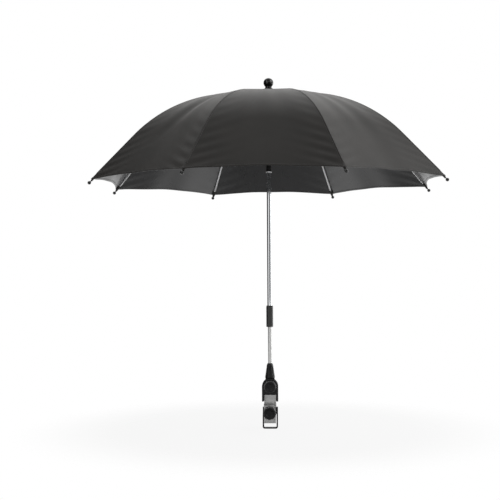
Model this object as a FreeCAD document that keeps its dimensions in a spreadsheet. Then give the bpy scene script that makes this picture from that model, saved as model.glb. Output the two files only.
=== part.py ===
import FreeCAD, Part
import math
import os
import re

import Sketcher

RIB_COUNT = 8
KNOB_LOBES = 10
SOCKET_FLUTES = 8

doc = FreeCAD.newDocument("pram_parasol")

# Driving dimensions in millimetres and degrees; heights are above the axis of the clamped tube
SIZES = {
    "clamp_tube_dia": 25,
    "strip_width": 28,
    "strip_thick": 2.5,
    "strip_bend": 1.5,
    "throat": 33,
    "front_leg_drop": 26.5,
    "shelf_top": 16,
    "shelf_back": 20,
    "nut_dia": 13,
    "nut_length": 6,
    "screw_dia": 8,
    "thread_clear": 0.08,
    "pad_gap": 0.4,
    "pad_dia": 18,
    "pad_thick": 4,
    "clamp_knob_dia": 31.5,
    "clamp_knob_thick": 11,
    "knob_gap": 9,
    "frame_width": 36,
    "cheek_thick": 3.2,
    "frame_foot": 44.5,
    "frame_bar": 3.2,
    "frame_round": 5,
    "window_round": 2,
    "frame_top": 5,
    "beam_drop": 10.5,
    "prong_depth": 10,
    "block_front": 8,
    "rivet_dia": 4,
    "rivet_head": 1.4,
    "rivet_head_dia": 6.8,
    "rivet_half_pitch": 8.12,
    "rivet_depth": 7.5,
    "tilt_height": 55.5,
    "yoke_radius": 19,
    "yoke_plate": 4,
    "yoke_wall": 4.4,
    "yoke_foot": 20.6,
    "yoke_lip": 36,
    "eye_thick": 10.4,
    "eye_radius": 14,
    "eye_clear": 0.3,
    "tilt_bolt_dia": 6,
    "pin_clear": 0.06,
    "tilt_knob_dia": 30.5,
    "tilt_knob_thick": 9.2,
    "socket_rise": 54.5,
    "socket_top_dia": 14.8,
    "socket_base_dia": 23.4,
    "socket_shoulder": 4,
    "socket_lip": 1,
    "socket_bore": 32,
    "flute_dia": 3.2,
    "flute_inset": 4,
    "lower_tube_dia": 8.8,
    "upper_tube_dia": 10.8,
    "tube_wall": 0.7,
    "knuckle_height": 204,
    "knuckle_radius": 4.5,
    "knuckle_tongue": 3.6,
    "knuckle_gap": 0.3,
    "knuckle_space": 0.7,
    "shoulder_length": 2.8,
    "fork_length": 10,
    "knuckle_pin_dia": 3.2,
    "plug_length": 18,
    "sleeve_drop": 8.5,
    "sleeve_length": 50.5,
    "sleeve_dia": 16.2,
    "slide_clear": 0.25,
    "runner_drop": 120.5,
    "runner_tail": 73,
    "runner_tail_dia": 13.2,
    "runner_flange_dia": 34,
    "flange_half": 3.2,
    "ferrule_length": 2.2,
    "catch_length": 22,
    "catch_nose": 3,
    "catch_width": 1.6,
    "catch_leaf": 60,
    "ring_radius": 12,
    "ring_wire_dia": 1.2,
    "slot_width": 2.4,
    "crown_dia": 29,
    "crown_hub_dia": 17,
    "crown_hub_depth": 13,
    "stud_dia": 6,
    "stud_length": 12,
    "cap_dia": 44,
    "cloth_top": 759,
    "finial_dia": 23.5,
    "finial_height": 26.5,
    "finial_neck_dia": 15.5,
    "rim_radius": 425,
    "rim_drop": 223,
    "root_slope": 8.5,
    "outer_slope": 46,
    "bend_radius": 350,
    "rib_width": 3.2,
    "rib_depth": 3.2,
    "rib_wall": 0.6,
    "rib_eye_thick": 1.8,
    "rib_eye_dia": 4.4,
    "rib_eye_reach": 13,
    "channel_lead": 6,
    "lug_reach": 194,
    "lug_drop": 3.4,
    "lug_length": 7,
    "lug_edge": 2,
    "stretcher_thick": 1.4,
    "stretcher_flat": 12,
    "rib_pin_dia": 1.8,
    "tip_dia": 8,
    "tip_reach": 9.5,
    "cloth_thick": 0.6,
    "cloth_gap": 1.0,
    "cloth_inner": 17,
    "panel_dip": 8,
    "hem_rise": 15,
}

sheet = doc.addObject("Spreadsheet::Sheet", "sizes")
for row, (alias, number) in enumerate(SIZES.items(), 1):
    sheet.set(f"A{row}", str(number))
    sheet.setAlias(f"A{row}", alias)
doc.recompute()

ALIAS = re.compile(r"\b(" + "|".join(sorted(SIZES, key=len, reverse=True)) + r")\b")
TURN = {
    "z": FreeCAD.Rotation(),
    "x": FreeCAD.Rotation(FreeCAD.Vector(0, 1, 0), 90),
    "y": FreeCAD.Rotation(FreeCAD.Vector(1, 0, 0), -90),
}
nodes = []


def bound(text):
    """Formula on the sheet: every alias in it is read from the sizes sheet."""
    return ALIAS.sub(r"sizes.\1", str(text))


def value(text):
    """Number that a formula gives now."""
    return float(sheet.evalExpression(bound(text)))


def node(label, thing):
    """Name a finished sub-part and list it for export."""
    thing.Label = label
    nodes.append(thing)
    return thing


def put(thing, at):
    """Bind the start point of a solid to three formulas."""
    for side, text in zip("xyz", at):
        thing.setExpression(f"Placement.Base.{side}", bound(text))
    return thing


def bar(name, dia, length, at, along="z"):
    """Round bar from a start point, running along one axis."""
    thing = doc.addObject("Part::Cylinder", name)
    thing.setExpression("Radius", bound(f"({dia}) / 2"))
    thing.setExpression("Height", bound(length))
    thing.Placement = FreeCAD.Placement(FreeCAD.Vector(), TURN[along])
    return put(thing, at)


def block(name, size, at):
    """Box from its lowest corner."""
    thing = doc.addObject("Part::Box", name)
    for side, text in zip(("Length", "Width", "Height"), size):
        thing.setExpression(side, bound(text))
    return put(thing, at)


def ball(name, dia, at):
    """Sphere about a centre."""
    thing = doc.addObject("Part::Sphere", name)
    thing.setExpression("Radius", bound(f"({dia}) / 2"))
    return put(thing, at)


def fuse(name, *pieces):
    """One solid from several that meet."""
    thing = doc.addObject("Part::MultiFuse", name)
    thing.Shapes = list(pieces)
    thing.Refine = True
    return thing


def cut(name, base, *tools):
    """Base with the tools taken away."""
    thing = doc.addObject("Part::Cut", name)
    thing.Base = base
    thing.Tool = tools[0] if len(tools) == 1 else fuse(name + "_tools", *tools)
    return thing


def body(name):
    """Empty body for a piece that is drawn and padded."""
    return doc.addObject("PartDesign::Body", name)


def sketch_on(owner, name, role, lift):
    """Sketch on an origin plane of its own body, lifted along the plane's normal."""
    drawing = owner.newObject("Sketcher::SketchObject", name)
    plane = [f for f in owner.Origin.OriginFeatures if f.Role == role][0]
    drawing.AttachmentSupport = [(plane, "")]
    drawing.MapMode = "FlatFace"
    drawing.setExpression("AttachmentOffset.Base.z", bound(lift))
    return drawing


def pin_down(drawing, kind, target, text):
    """Dimension bound to a formula; a zero becomes a point on the axis."""
    geometry, vertex = target
    number = value(text)
    if abs(number) < 1e-9:
        axis = -2 if kind == "DistanceX" else -1
        drawing.addConstraint(Sketcher.Constraint("PointOnObject", geometry, vertex, axis))
        return
    made = drawing.addConstraint(Sketcher.Constraint(kind, -1, 1, geometry, vertex, number))
    drawing.setExpression(f"Constraints[{made}]", bound(text))


def outline(owner, name, role, corners, lift="0"):
    """Closed straight-sided sketch whose corners are pairs of formulas."""
    drawing = sketch_on(owner, name, role, lift)
    points = [FreeCAD.Vector(value(x), value(y), 0) for x, y in corners]
    for i, point in enumerate(points):
        drawing.addGeometry(Part.LineSegment(point, points[(i + 1) % len(points)]), False)
    for i in range(len(points)):
        drawing.addConstraint(Sketcher.Constraint("Coincident", i, 2, (i + 1) % len(points), 1))
    for i, (x, y) in enumerate(corners):
        pin_down(drawing, "DistanceX", (i, 1), x)
        pin_down(drawing, "DistanceY", (i, 1), y)
    return drawing


def rectangle(owner, name, role, low, high, lift="0"):
    """Rectangle sketch between two corners."""
    corners = [low, (high[0], low[1]), high, (low[0], high[1])]
    return outline(owner, name, role, corners, lift)


def circle(owner, name, role, centre, dia, lift="0"):
    """Circle sketch."""
    drawing = sketch_on(owner, name, role, lift)
    middle = FreeCAD.Vector(value(centre[0]), value(centre[1]), 0)
    drawing.addGeometry(Part.Circle(middle, FreeCAD.Vector(0, 0, 1), value(dia) / 2), False)
    pin_down(drawing, "DistanceX", (0, 3), centre[0])
    pin_down(drawing, "DistanceY", (0, 3), centre[1])
    made = drawing.addConstraint(Sketcher.Constraint("Diameter", 0, value(dia)))
    drawing.setExpression(f"Constraints[{made}]", bound(dia))
    return drawing


def pad(owner, drawing, length, both=False, back=False):
    """Pad of a sketch, to one side or evenly to both."""
    feature = owner.newObject("PartDesign::Pad", drawing.Name + "_pad")
    feature.Profile = drawing
    feature.setExpression("Length", bound(length))
    feature.SideType = "Symmetric" if both else "One side"
    feature.Reversed = back
    return feature


def pocket(owner, drawing, length, both=True, back=False):
    """Pocket of a sketch; it must take material away."""
    doc.recompute()
    before = owner.Shape.Volume
    feature = owner.newObject("PartDesign::Pocket", drawing.Name + "_cut")
    feature.Profile = drawing
    feature.Type = "Length"
    feature.setExpression("Length", bound(length))
    feature.SideType = "Symmetric" if both else "One side"
    feature.Reversed = back
    doc.recompute()
    if owner.Shape.Volume > before - 1e-6:
        raise RuntimeError(f"{drawing.Name} cuts nothing")
    return feature


def rounded(owner, name, radius, spots, along="y"):
    """Fillet of the edges along X or Y that lie at the given pairs of sideways and z formulas."""
    doc.recompute()
    base = owner.Tip
    picked = []
    for number, edge in enumerate(base.Shape.Edges, 1):
        box = edge.BoundBox
        low, high = (box.YMin, box.YMax) if along == "x" else (box.XMin, box.XMax)
        for side, z in spots:
            away = max(abs(low - value(side)), abs(high - value(side)),
                       abs(box.ZMin - value(z)), abs(box.ZMax - value(z)))
            if away < 1e-4:
                picked.append(f"Edge{number}")
    feature = owner.newObject("PartDesign::Fillet", name)
    feature.Base = (base, picked)
    feature.setExpression("Radius", bound(radius))
    return feature


def turn(owner, drawing):
    """Revolution of a sketch about its vertical axis."""
    feature = owner.newObject("PartDesign::Revolution", drawing.Name + "_turn")
    feature.Profile = drawing
    feature.ReferenceAxis = (drawing, ["V_Axis"])
    feature.Angle = 360
    return feature


def groove(owner, drawing):
    """Groove of a sketch turned about its vertical axis; it must take material away."""
    doc.recompute()
    before = owner.Shape.Volume
    feature = owner.newObject("PartDesign::Groove", drawing.Name + "_groove")
    feature.Profile = drawing
    feature.ReferenceAxis = (drawing, ["V_Axis"])
    feature.Angle = 360
    doc.recompute()
    if owner.Shape.Volume > before - 1e-6:
        raise RuntimeError(f"{drawing.Name} cuts nothing")
    return feature


# Formulas that several pieces share
TUBE_R = "clamp_tube_dia / 2"
LEG_FRONT = "throat + strip_thick"
HALF_STRIP = "strip_width / 2"
GAP_HALF = "(eye_thick / 2 + eye_clear)"
YOKE_HALF = "(eye_thick / 2 + eye_clear + yoke_plate)"
RIDGE_OFFSET = "(cloth_thick + cloth_gap + rib_depth / 2)"
PIVOT = f"(cloth_top - ring_radius * tan(root_slope) - {RIDGE_OFFSET} / cos(root_slope))"
CROWN_TOP = "(cloth_top - 2 * cloth_thick)"
PAD_FACE = "(clamp_tube_dia / 2 + pad_gap)"
KNOB_BACK = f"({LEG_FRONT} + nut_length + knob_gap)"
SOCKET_TOP = "(tilt_height + socket_rise)"
SLEEVE_BOTTOM = "(knuckle_height - sleeve_drop)"
RUNNER = f"({PIVOT} - runner_drop)"
RUNNER_BOTTOM = f"({RUNNER} - runner_tail)"
JAW_RIVET_Y = "(block_front + shelf_back) / 2 + rivet_dia / 2"
YOKE_RIVET_Z = "(yoke_foot + yoke_lip) / 2"

# Clamp bracket: bent steel strip with tongue, shelf and front leg, and a nut welded to the leg
bracket = body("bracket")
strip = outline(bracket, "strip", "YZ_Plane", [
    (f"-({LEG_FRONT})", "-front_leg_drop"),
    (f"-({LEG_FRONT})", "shelf_top"),
    (f"{GAP_HALF} - strip_thick", "shelf_top"),
    (f"{GAP_HALF} - strip_thick", "tilt_height - eye_radius - 0.5"),
    (GAP_HALF, "tilt_height - eye_radius - 0.5"),
    (GAP_HALF, "shelf_top"),
    ("shelf_back", "shelf_top"),
    ("shelf_back", "shelf_top - strip_thick"),
    ("-throat", "shelf_top - strip_thick"),
    ("-throat", "-front_leg_drop"),
])
pad(bracket, strip, "strip_width", both=True)
rounded(bracket, "outer_bend", "strip_bend + strip_thick", [(f"-({LEG_FRONT})", "shelf_top")], along="x")
rounded(bracket, "inner_bend", "strip_bend", [("-throat", "shelf_top - strip_thick")], along="x")
nut = circle(bracket, "nut", "XZ_Plane", ("0", "0"), "nut_dia", LEG_FRONT)
pad(bracket, nut, "nut_length")
nut_bore = circle(bracket, "nut_bore", "XZ_Plane", ("0", "0"), "screw_dia + 2 * thread_clear", "throat - 1")
pocket(bracket, nut_bore, "strip_thick + nut_length + 2", both=False, back=True)
for side, sign in (("left", "-"), ("right", "")):
    hole = circle(bracket, f"jaw_hole_{side}", "XY_Plane",
                  (f"{sign}rivet_half_pitch", JAW_RIVET_Y), "rivet_dia", "shelf_top + 1")
    pocket(bracket, hole, "strip_thick + 2", both=False)
    hole = circle(bracket, f"yoke_hole_{side}", "XZ_Plane",
                  (f"{sign}rivet_half_pitch", YOKE_RIVET_Z), "rivet_dia", f"-{GAP_HALF} - 1")
    pocket(bracket, hole, "strip_thick + 2", both=False, back=True)
node("clamp_bracket", bracket)

# Jaw frame: moulded hook with two cheeks, a window between them and a saddle for the tube
jaw = body("jaw")
cheeks = outline(jaw, "cheeks", "YZ_Plane", [
    ("0", "-frame_foot"),
    ("0", "frame_top"),
    ("shelf_back", "frame_top"),
    ("shelf_back", f"-({TUBE_R}) - 5"),
    ("prong_depth", f"-({TUBE_R}) - 16"),
    ("prong_depth", "-frame_foot"),
])
pad(jaw, cheeks, "frame_width", both=True)
window = rectangle(jaw, "window", "XZ_Plane",
                   ("cheek_thick - frame_width / 2", "frame_bar - frame_foot"),
                   ("frame_width / 2 - cheek_thick", "-beam_drop"))
pocket(jaw, window, "4 * shelf_back")
rounded(jaw, "outer_corners", "frame_round",
        [("-frame_width / 2", "-frame_foot"), ("frame_width / 2", "-frame_foot")])
rounded(jaw, "window_corners", "window_round",
        [("cheek_thick - frame_width / 2", "frame_bar - frame_foot"),
         ("frame_width / 2 - cheek_thick", "frame_bar - frame_foot")])
root_block = rectangle(jaw, "root_block", "YZ_Plane",
                       ("block_front", "0"), ("shelf_back", "shelf_top - strip_thick"))
pad(jaw, root_block, "strip_width", both=True)
saddle = circle(jaw, "saddle", "YZ_Plane", ("0", "0"), "clamp_tube_dia")
pocket(jaw, saddle, "frame_width + 4")
for side, sign in (("left", "-"), ("right", "")):
    hole = circle(jaw, f"block_hole_{side}", "XY_Plane",
                  (f"{sign}rivet_half_pitch", JAW_RIVET_Y), "rivet_dia", "shelf_top")
    pocket(jaw, hole, "strip_thick + rivet_depth + 0.5", both=False)
node("jaw_frame", jaw)

# Jaw rivets: two round heads on the shelf, shanks down into the jaw frame
rivets = []
for side, sign in (("left", "-"), ("right", "")):
    spot = (f"{sign}rivet_half_pitch", JAW_RIVET_Y)
    rivets.append(bar(f"jaw_shank_{side}", "rivet_dia", "strip_thick + rivet_depth",
                      (*spot, "shelf_top - strip_thick - rivet_depth")))
    rivets.append(bar(f"jaw_head_{side}", "rivet_head_dia", "rivet_head", (*spot, "shelf_top")))
node("jaw_rivets", fuse("jaw_rivets", *rivets))

# Yoke: moulded fork with a rounded front and back plate on two side walls
yoke = body("yoke")
back_plate = rectangle(yoke, "back_plate", "XZ_Plane", ("-yoke_radius", "yoke_foot"),
                       ("yoke_radius", "tilt_height"), f"-{GAP_HALF}")
pad(yoke, back_plate, "yoke_plate", back=True)
back_disc = circle(yoke, "back_disc", "XZ_Plane", ("0", "tilt_height"), "2 * yoke_radius", f"-{GAP_HALF}")
pad(yoke, back_disc, "yoke_plate", back=True)
for side, sign in (("left", "-"), ("right", "")):
    wall = rectangle(yoke, f"wall_{side}", "XZ_Plane",
                     (f"{sign}(yoke_radius - yoke_wall)", "yoke_foot"),
                     (f"{sign}yoke_radius", "tilt_height - socket_base_dia / 2 - 1"))
    pad(yoke, wall, f"2 * {YOKE_HALF}", both=True)
front_plate = rectangle(yoke, "front_plate", "XZ_Plane", ("-yoke_radius", "yoke_lip"),
                        ("yoke_radius", "tilt_height"), GAP_HALF)
pad(yoke, front_plate, "yoke_plate")
front_disc = circle(yoke, "front_disc", "XZ_Plane", ("0", "tilt_height"), "2 * yoke_radius", GAP_HALF)
pad(yoke, front_disc, "yoke_plate")
bolt_hole = circle(yoke, "bolt_hole", "XZ_Plane", ("0", "tilt_height"), "tilt_bolt_dia + 2 * pin_clear")
pocket(yoke, bolt_hole, f"2 * {YOKE_HALF} + 4")
for side, sign in (("left", "-"), ("right", "")):
    hole = circle(yoke, f"plate_hole_{side}", "XZ_Plane",
                  (f"{sign}rivet_half_pitch", YOKE_RIVET_Z), "rivet_dia", f"-{GAP_HALF} + 1")
    pocket(yoke, hole, "yoke_plate + 2", both=False)
node("yoke", yoke)

# Yoke rivets: flush at the front of the tongue, round heads behind the back plate
rivets = []
for side, sign in (("left", "-"), ("right", "")):
    spot = f"{sign}rivet_half_pitch"
    rivets.append(bar(f"yoke_shank_{side}", "rivet_dia", "strip_thick + yoke_plate",
                      (spot, f"{GAP_HALF} - strip_thick", YOKE_RIVET_Z), "y"))
    rivets.append(bar(f"yoke_head_{side}", "rivet_head_dia", "rivet_head", (spot, YOKE_HALF, YOKE_RIVET_Z), "y"))
node("yoke_rivets", fuse("yoke_rivets", *rivets))

# Tilt bolt: round head behind the yoke, shank through both plates and into the knob
tilt_bolt = fuse(
    "tilt_bolt",
    bar("tilt_head", "tilt_bolt_dia * 2.1", "3", ("0", YOKE_HALF, "tilt_height"), "y"),
    bar("tilt_shank", "tilt_bolt_dia", f"2 * {YOKE_HALF} + tilt_knob_thick * 0.7",
        ("0", f"-{YOKE_HALF} - tilt_knob_thick * 0.7", "tilt_height"), "y"),
)
node("tilt_bolt", tilt_bolt)


def knob(label, dia, thick, back, height, bore, depth):
    """Scalloped hand knob about an axis along Y, with its back face towards +Y and a blind bore."""
    owner = body(label + "_body")
    disc = circle(owner, label + "_disc", "XZ_Plane", ("0", height), dia, back)
    pad(owner, disc, thick)
    dish = circle(owner, label + "_dish", "XZ_Plane", ("0", height), f"({dia}) * 0.5", f"{back} + {thick}")
    pocket(owner, dish, "1.5", both=False)
    hole = circle(owner, label + "_bore", "XZ_Plane", ("0", height), bore, back)
    pocket(owner, hole, depth, both=False, back=True)
    scallops = []
    for i in range(KNOB_LOBES):
        angle = 360 * (i + 0.5) / KNOB_LOBES
        spot = (f"({dia}) * 0.575 * sin({angle})", f"{height} + ({dia}) * 0.575 * cos({angle})")
        scallops.append(circle(owner, f"{label}_scallop_{i + 1}", "XZ_Plane", spot, f"({dia}) * 0.22", back))
        pocket(owner, scallops[-1], thick, both=False, back=True)
    return node(label, owner)


# Tilt knob: lobed hand knob that draws the yoke plates together
knob("tilt_knob", "tilt_knob_dia", "tilt_knob_thick", f"({YOKE_HALF} + eye_clear)", "tilt_height",
     "tilt_bolt_dia + 2 * pin_clear", "tilt_knob_thick * 0.75")

# Clamp screw, its knob and the pressure pad that it pushes against the tube
screw = bar("clamp_screw", "screw_dia", f"{KNOB_BACK} + clamp_knob_thick * 0.6 - {PAD_FACE} - pad_thick * 0.6",
            ("0", f"-({KNOB_BACK} + clamp_knob_thick * 0.6)", "0"), "y")
node("clamp_screw", screw)
knob("clamp_knob", "clamp_knob_dia", "clamp_knob_thick", KNOB_BACK, "0", "screw_dia",
     "clamp_knob_thick * 0.6")
cushion = cut(
    "pressure_pad",
    bar("pad_disc", "pad_dia", "pad_thick", ("0", f"-{PAD_FACE} - pad_thick", "0"), "y"),
    bar("pad_socket", "screw_dia + 2 * thread_clear", "pad_thick * 0.4 + 0.1",
        ("0", f"-{PAD_FACE} - pad_thick", "0"), "y"),
)
node("pressure_pad", cushion)

# Pole socket: fluted cone on a flat eye, with a blind bore for the lower tube
socket = body("socket")
SOCKET_BASE = "(tilt_height + yoke_radius + 0.9)"
cone = outline(socket, "cone", "XZ_Plane", [
    ("0", SOCKET_BASE),
    ("socket_base_dia / 2 - 1", SOCKET_BASE),
    ("socket_base_dia / 2", f"{SOCKET_BASE} + 1"),
    ("socket_top_dia / 2", f"{SOCKET_TOP} - socket_shoulder"),
    ("lower_tube_dia / 2 + socket_lip", SOCKET_TOP),
    ("0", SOCKET_TOP),
])
turn(socket, cone)
eye_disc = circle(socket, "eye_disc", "XZ_Plane", ("0", "tilt_height"), "2 * eye_radius")
pad(socket, eye_disc, "eye_thick", both=True)
eye_neck = rectangle(socket, "eye_neck", "XZ_Plane", ("1 - socket_base_dia / 2", "tilt_height"),
                     ("socket_base_dia / 2 - 1", f"{SOCKET_BASE} + 1"))
pad(socket, eye_neck, "eye_thick", both=True)
eye_hole = circle(socket, "eye_hole", "XZ_Plane", ("0", "tilt_height"), "tilt_bolt_dia + 2 * pin_clear")
pocket(socket, eye_hole, "eye_thick + 2")
tube_bore = circle(socket, "tube_bore", "XY_Plane", ("0", "0"), "lower_tube_dia", SOCKET_TOP)
pocket(socket, tube_bore, "socket_bore", both=False)
flutes = []
for i in range(SOCKET_FLUTES):
    low = FreeCAD.Vector(value("socket_base_dia / 2 + flute_dia / 5"), 0, value(f"{SOCKET_BASE} + flute_inset"))
    high = FreeCAD.Vector(value("socket_top_dia / 2 + flute_dia / 5"), 0,
                          value(f"{SOCKET_TOP} - socket_shoulder - flute_inset"))
    spin = FreeCAD.Rotation(FreeCAD.Vector(0, 0, 1), 360 * i / SOCKET_FLUTES)
    flute = doc.addObject("Part::Cylinder", f"flute_{i + 1}")
    flute.Radius = value("flute_dia / 2")
    flute.Height = (high - low).Length
    lean = FreeCAD.Rotation(FreeCAD.Vector(0, 0, 1), high - low)
    flute.Placement = FreeCAD.Placement(spin.multVec(low), spin.multiply(lean))
    flutes.append(flute)
node("pole_socket", cut("pole_socket", socket, *flutes))


def tube(label, dia, bottom, top):
    """Plain drawn tube."""
    outer = bar(label + "_outer", dia, f"{top} - ({bottom})", ("0", "0", bottom))
    inner = bar(label + "_inner", f"{dia} - 2 * tube_wall", f"{top} - ({bottom}) + 2", ("0", "0", f"{bottom} - 1"))
    return outer, inner


# Lower tube: satin drawn tube, pressed into the socket
SHOULDER = "(knuckle_radius + knuckle_space)"
lower = cut("lower_tube", *tube("lower_tube", "lower_tube_dia", f"{SOCKET_TOP} - socket_bore",
                                f"(knuckle_height - {SHOULDER} - shoulder_length)"))
node("lower_tube", lower)

# Knuckle tongue: turned plug in the lower tube with a flat rounded eye
THROUGH = ("2 * upper_tube_dia", ("-upper_tube_dia", "0", "knuckle_height"))
flat_eye = fuse(
    "flat_eye",
    bar("tongue_disc", "2 * knuckle_radius", "knuckle_tongue", ("-knuckle_tongue / 2", "0", "knuckle_height"), "x"),
    block("tongue_neck", ("knuckle_tongue", "2 * knuckle_radius * 0.9", f"{SHOULDER} + 0.5"),
          ("-knuckle_tongue / 2", "-knuckle_radius * 0.9", f"knuckle_height - {SHOULDER} - 0.5")),
)
tongue = cut(
    "knuckle_tongue",
    fuse("tongue_whole", flat_eye,
         bar("tongue_shoulder", "lower_tube_dia", "shoulder_length",
             ("0", "0", f"knuckle_height - {SHOULDER} - shoulder_length")),
         bar("tongue_plug", "lower_tube_dia - 2 * tube_wall", "plug_length",
             ("0", "0", f"knuckle_height - {SHOULDER} - shoulder_length - plug_length"))),
    bar("tongue_hole", "knuckle_pin_dia + 2 * pin_clear", *THROUGH, "x"),
)
node("knuckle_tongue", tongue)

# Knuckle fork: turned plug in the upper tube with two ears about the tongue
FORK_DIA = "(upper_tube_dia - 0.2)"
ears = doc.addObject("Part::MultiCommon", "fork_ears")
ears.Shapes = [
    bar("fork_round", FORK_DIA, "knuckle_radius * 2 + fork_length", ("0", "0", "knuckle_height - knuckle_radius")),
    fuse("fork_side",
         bar("fork_disc", "2 * knuckle_radius", *THROUGH, "x"),
         block("fork_shank", ("2 * upper_tube_dia", "2 * knuckle_radius", "fork_length"),
               ("-upper_tube_dia", "-knuckle_radius", "knuckle_height"))),
]
fork = cut(
    "knuckle_fork",
    fuse("fork_whole", ears,
         bar("fork_collar", FORK_DIA, f"fork_length - {SHOULDER}", ("0", "0", f"knuckle_height + {SHOULDER}")),
         bar("fork_plug", "upper_tube_dia - 2 * tube_wall", "plug_length",
             ("0", "0", "knuckle_height + fork_length"))),
    block("fork_slot", ("knuckle_tongue + 2 * knuckle_gap", "2 * upper_tube_dia", f"2 * {SHOULDER}"),
          ("-knuckle_tongue / 2 - knuckle_gap", "-upper_tube_dia", f"knuckle_height - {SHOULDER}")),
    bar("fork_hole", "knuckle_pin_dia", *THROUGH, "x"),
)
node("knuckle_fork", fork)
node("knuckle_pin", bar("knuckle_pin", "knuckle_pin_dia", "upper_tube_dia * 0.88",
                        ("-upper_tube_dia * 0.44", "0", "knuckle_height"), "x"))

# Upper tube: chromed drawn tube with a slot behind for the runner catch
CATCH_TOP = f"({RUNNER_BOTTOM} - eye_clear)"
upper_outer, upper_inner = tube("upper_tube", "upper_tube_dia", "knuckle_height + fork_length", f"({PIVOT} + 1)")
catch_slot = block("catch_slot", ("catch_width + 0.8", "upper_tube_dia", "catch_length + 3"),
                   ("-catch_width / 2 - 0.4", "0", f"{CATCH_TOP} - catch_length - 1.5"))
node("upper_tube", cut("upper_tube", upper_outer, upper_inner, catch_slot))

# Lock sleeve: ribbed plastic sleeve that hides and locks the knuckle
sleeve = body("sleeve")
SLEEVE_TOP = f"{SLEEVE_BOTTOM} + sleeve_length"
sleeve_wall = outline(sleeve, "sleeve_wall", "XZ_Plane", [
    ("upper_tube_dia / 2 + slide_clear", SLEEVE_BOTTOM),
    ("sleeve_dia / 2 - 0.8", SLEEVE_BOTTOM),
    ("sleeve_dia / 2", f"{SLEEVE_BOTTOM} + 1.2"),
    ("sleeve_dia / 2", f"{SLEEVE_TOP} - 2.4"),
    ("sleeve_dia / 2 - 1.3", SLEEVE_TOP),
    ("upper_tube_dia / 2 + slide_clear", SLEEVE_TOP),
])
turn(sleeve, sleeve_wall)
node("lock_sleeve", sleeve)

# Runner: sliding hub with a slotted flange for the stretchers and a long tail
runner = body("runner")
runner_wall = outline(runner, "runner_wall", "XZ_Plane", [
    ("upper_tube_dia / 2 + slide_clear", f"{RUNNER_BOTTOM} + ferrule_length"),
    ("runner_tail_dia / 2", f"{RUNNER_BOTTOM} + ferrule_length"),
    ("runner_tail_dia / 2", f"{RUNNER} - flange_half - 7"),
    ("ring_radius - 3.6", f"{RUNNER} - flange_half - 1"),
    ("ring_radius - 3.6", f"{RUNNER} - flange_half"),
    ("runner_flange_dia / 2", f"{RUNNER} - flange_half"),
    ("runner_flange_dia / 2", f"{RUNNER} + flange_half"),
    ("ring_radius - 3.6", f"{RUNNER} + flange_half"),
    ("ring_radius - 3.6", f"{RUNNER} + flange_half + 3"),
    ("upper_tube_dia / 2 + slide_clear", f"{RUNNER} + flange_half + 3"),
])
turn(runner, runner_wall)
band = rectangle(runner, "band", "XZ_Plane", ("runner_tail_dia / 2 - 0.4", f"{RUNNER_BOTTOM} + 9"),
                 ("runner_tail_dia / 2 + 1", f"{RUNNER_BOTTOM} + 10.2"))
groove(runner, band)


def spoke_slots(owner, name, outer, top, height):
    """One slot for each rib, cut down through a flange and open at its edge."""
    for i in range(RIB_COUNT):
        angle = math.radians(360 * (i + 0.5) / RIB_COUNT)
        along, across = (math.cos(angle), math.sin(angle)), (-math.sin(angle), math.cos(angle))
        corners = []
        for reach, half in (("ring_radius - 3", "-slot_width / 2"), (outer, "-slot_width / 2"),
                            (outer, "slot_width / 2"), ("ring_radius - 3", "slot_width / 2")):
            corners.append((f"({reach}) * ({along[0]:.9f}) + ({half}) * ({across[0]:.9f})",
                            f"({reach}) * ({along[1]:.9f}) + ({half}) * ({across[1]:.9f})"))
        slot = outline(owner, f"{name}_{i + 1}", "XY_Plane", corners, top)
        pocket(owner, slot, height, both=False)


spoke_slots(runner, "runner_slot", "runner_flange_dia / 2 + 1", f"{RUNNER} + flange_half + 0.01",
            "2 * flange_half + 0.02")
node("runner", runner)
ferrule = cut(
    "runner_ferrule",
    bar("ferrule_ring", "runner_tail_dia + 0.4", "ferrule_length", ("0", "0", RUNNER_BOTTOM)),
    bar("ferrule_bore", "upper_tube_dia + 2 * slide_clear", "ferrule_length + 2",
        ("0", "0", f"{RUNNER_BOTTOM} - 1")),
)
node("runner_ferrule", ferrule)

# Runner catch: flat spring leaf inside the tube whose nose holds the open runner up
catch = body("catch")
LEAF_FACE = "(upper_tube_dia / 2 - tube_wall - 1)"
nose = outline(catch, "nose", "YZ_Plane", [
    (f"{LEAF_FACE} - 0.6", f"{CATCH_TOP} - catch_leaf"),
    (LEAF_FACE, f"{CATCH_TOP} - catch_leaf"),
    (LEAF_FACE, f"{CATCH_TOP} - catch_length"),
    ("upper_tube_dia / 2 - 0.4", f"{CATCH_TOP} - catch_length"),
    ("upper_tube_dia / 2 + catch_nose", f"{CATCH_TOP} - 3"),
    ("upper_tube_dia / 2 + catch_nose", CATCH_TOP),
    (f"{LEAF_FACE} - 0.6", CATCH_TOP),
])
pad(catch, nose, "catch_width", both=True)
node("runner_catch", catch)

# Crown: slotted hub on the tube's top end, with a stud for the finial
crown = body("crown")
crown_wall = outline(crown, "crown_wall", "XZ_Plane", [
    ("0", f"{PIVOT} + 1"),
    ("upper_tube_dia / 2", f"{PIVOT} + 1"),
    ("upper_tube_dia / 2", f"{PIVOT} - crown_hub_depth"),
    ("crown_hub_dia / 2", f"{PIVOT} - crown_hub_depth"),
    ("crown_hub_dia / 2", f"{PIVOT} - flange_half"),
    ("crown_dia / 2", f"{PIVOT} - flange_half"),
    ("crown_dia / 2", f"{CROWN_TOP} - 0.8"),
    ("crown_dia / 2 - 0.8", CROWN_TOP),
    ("stud_dia / 2", CROWN_TOP),
    ("stud_dia / 2", f"{CROWN_TOP} + stud_length"),
    ("0", f"{CROWN_TOP} + stud_length"),
])
turn(crown, crown_wall)
spoke_slots(crown, "crown_slot", "crown_dia / 2 + 1", f"{CROWN_TOP} + 0.01", "crown_hub_depth")
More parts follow.
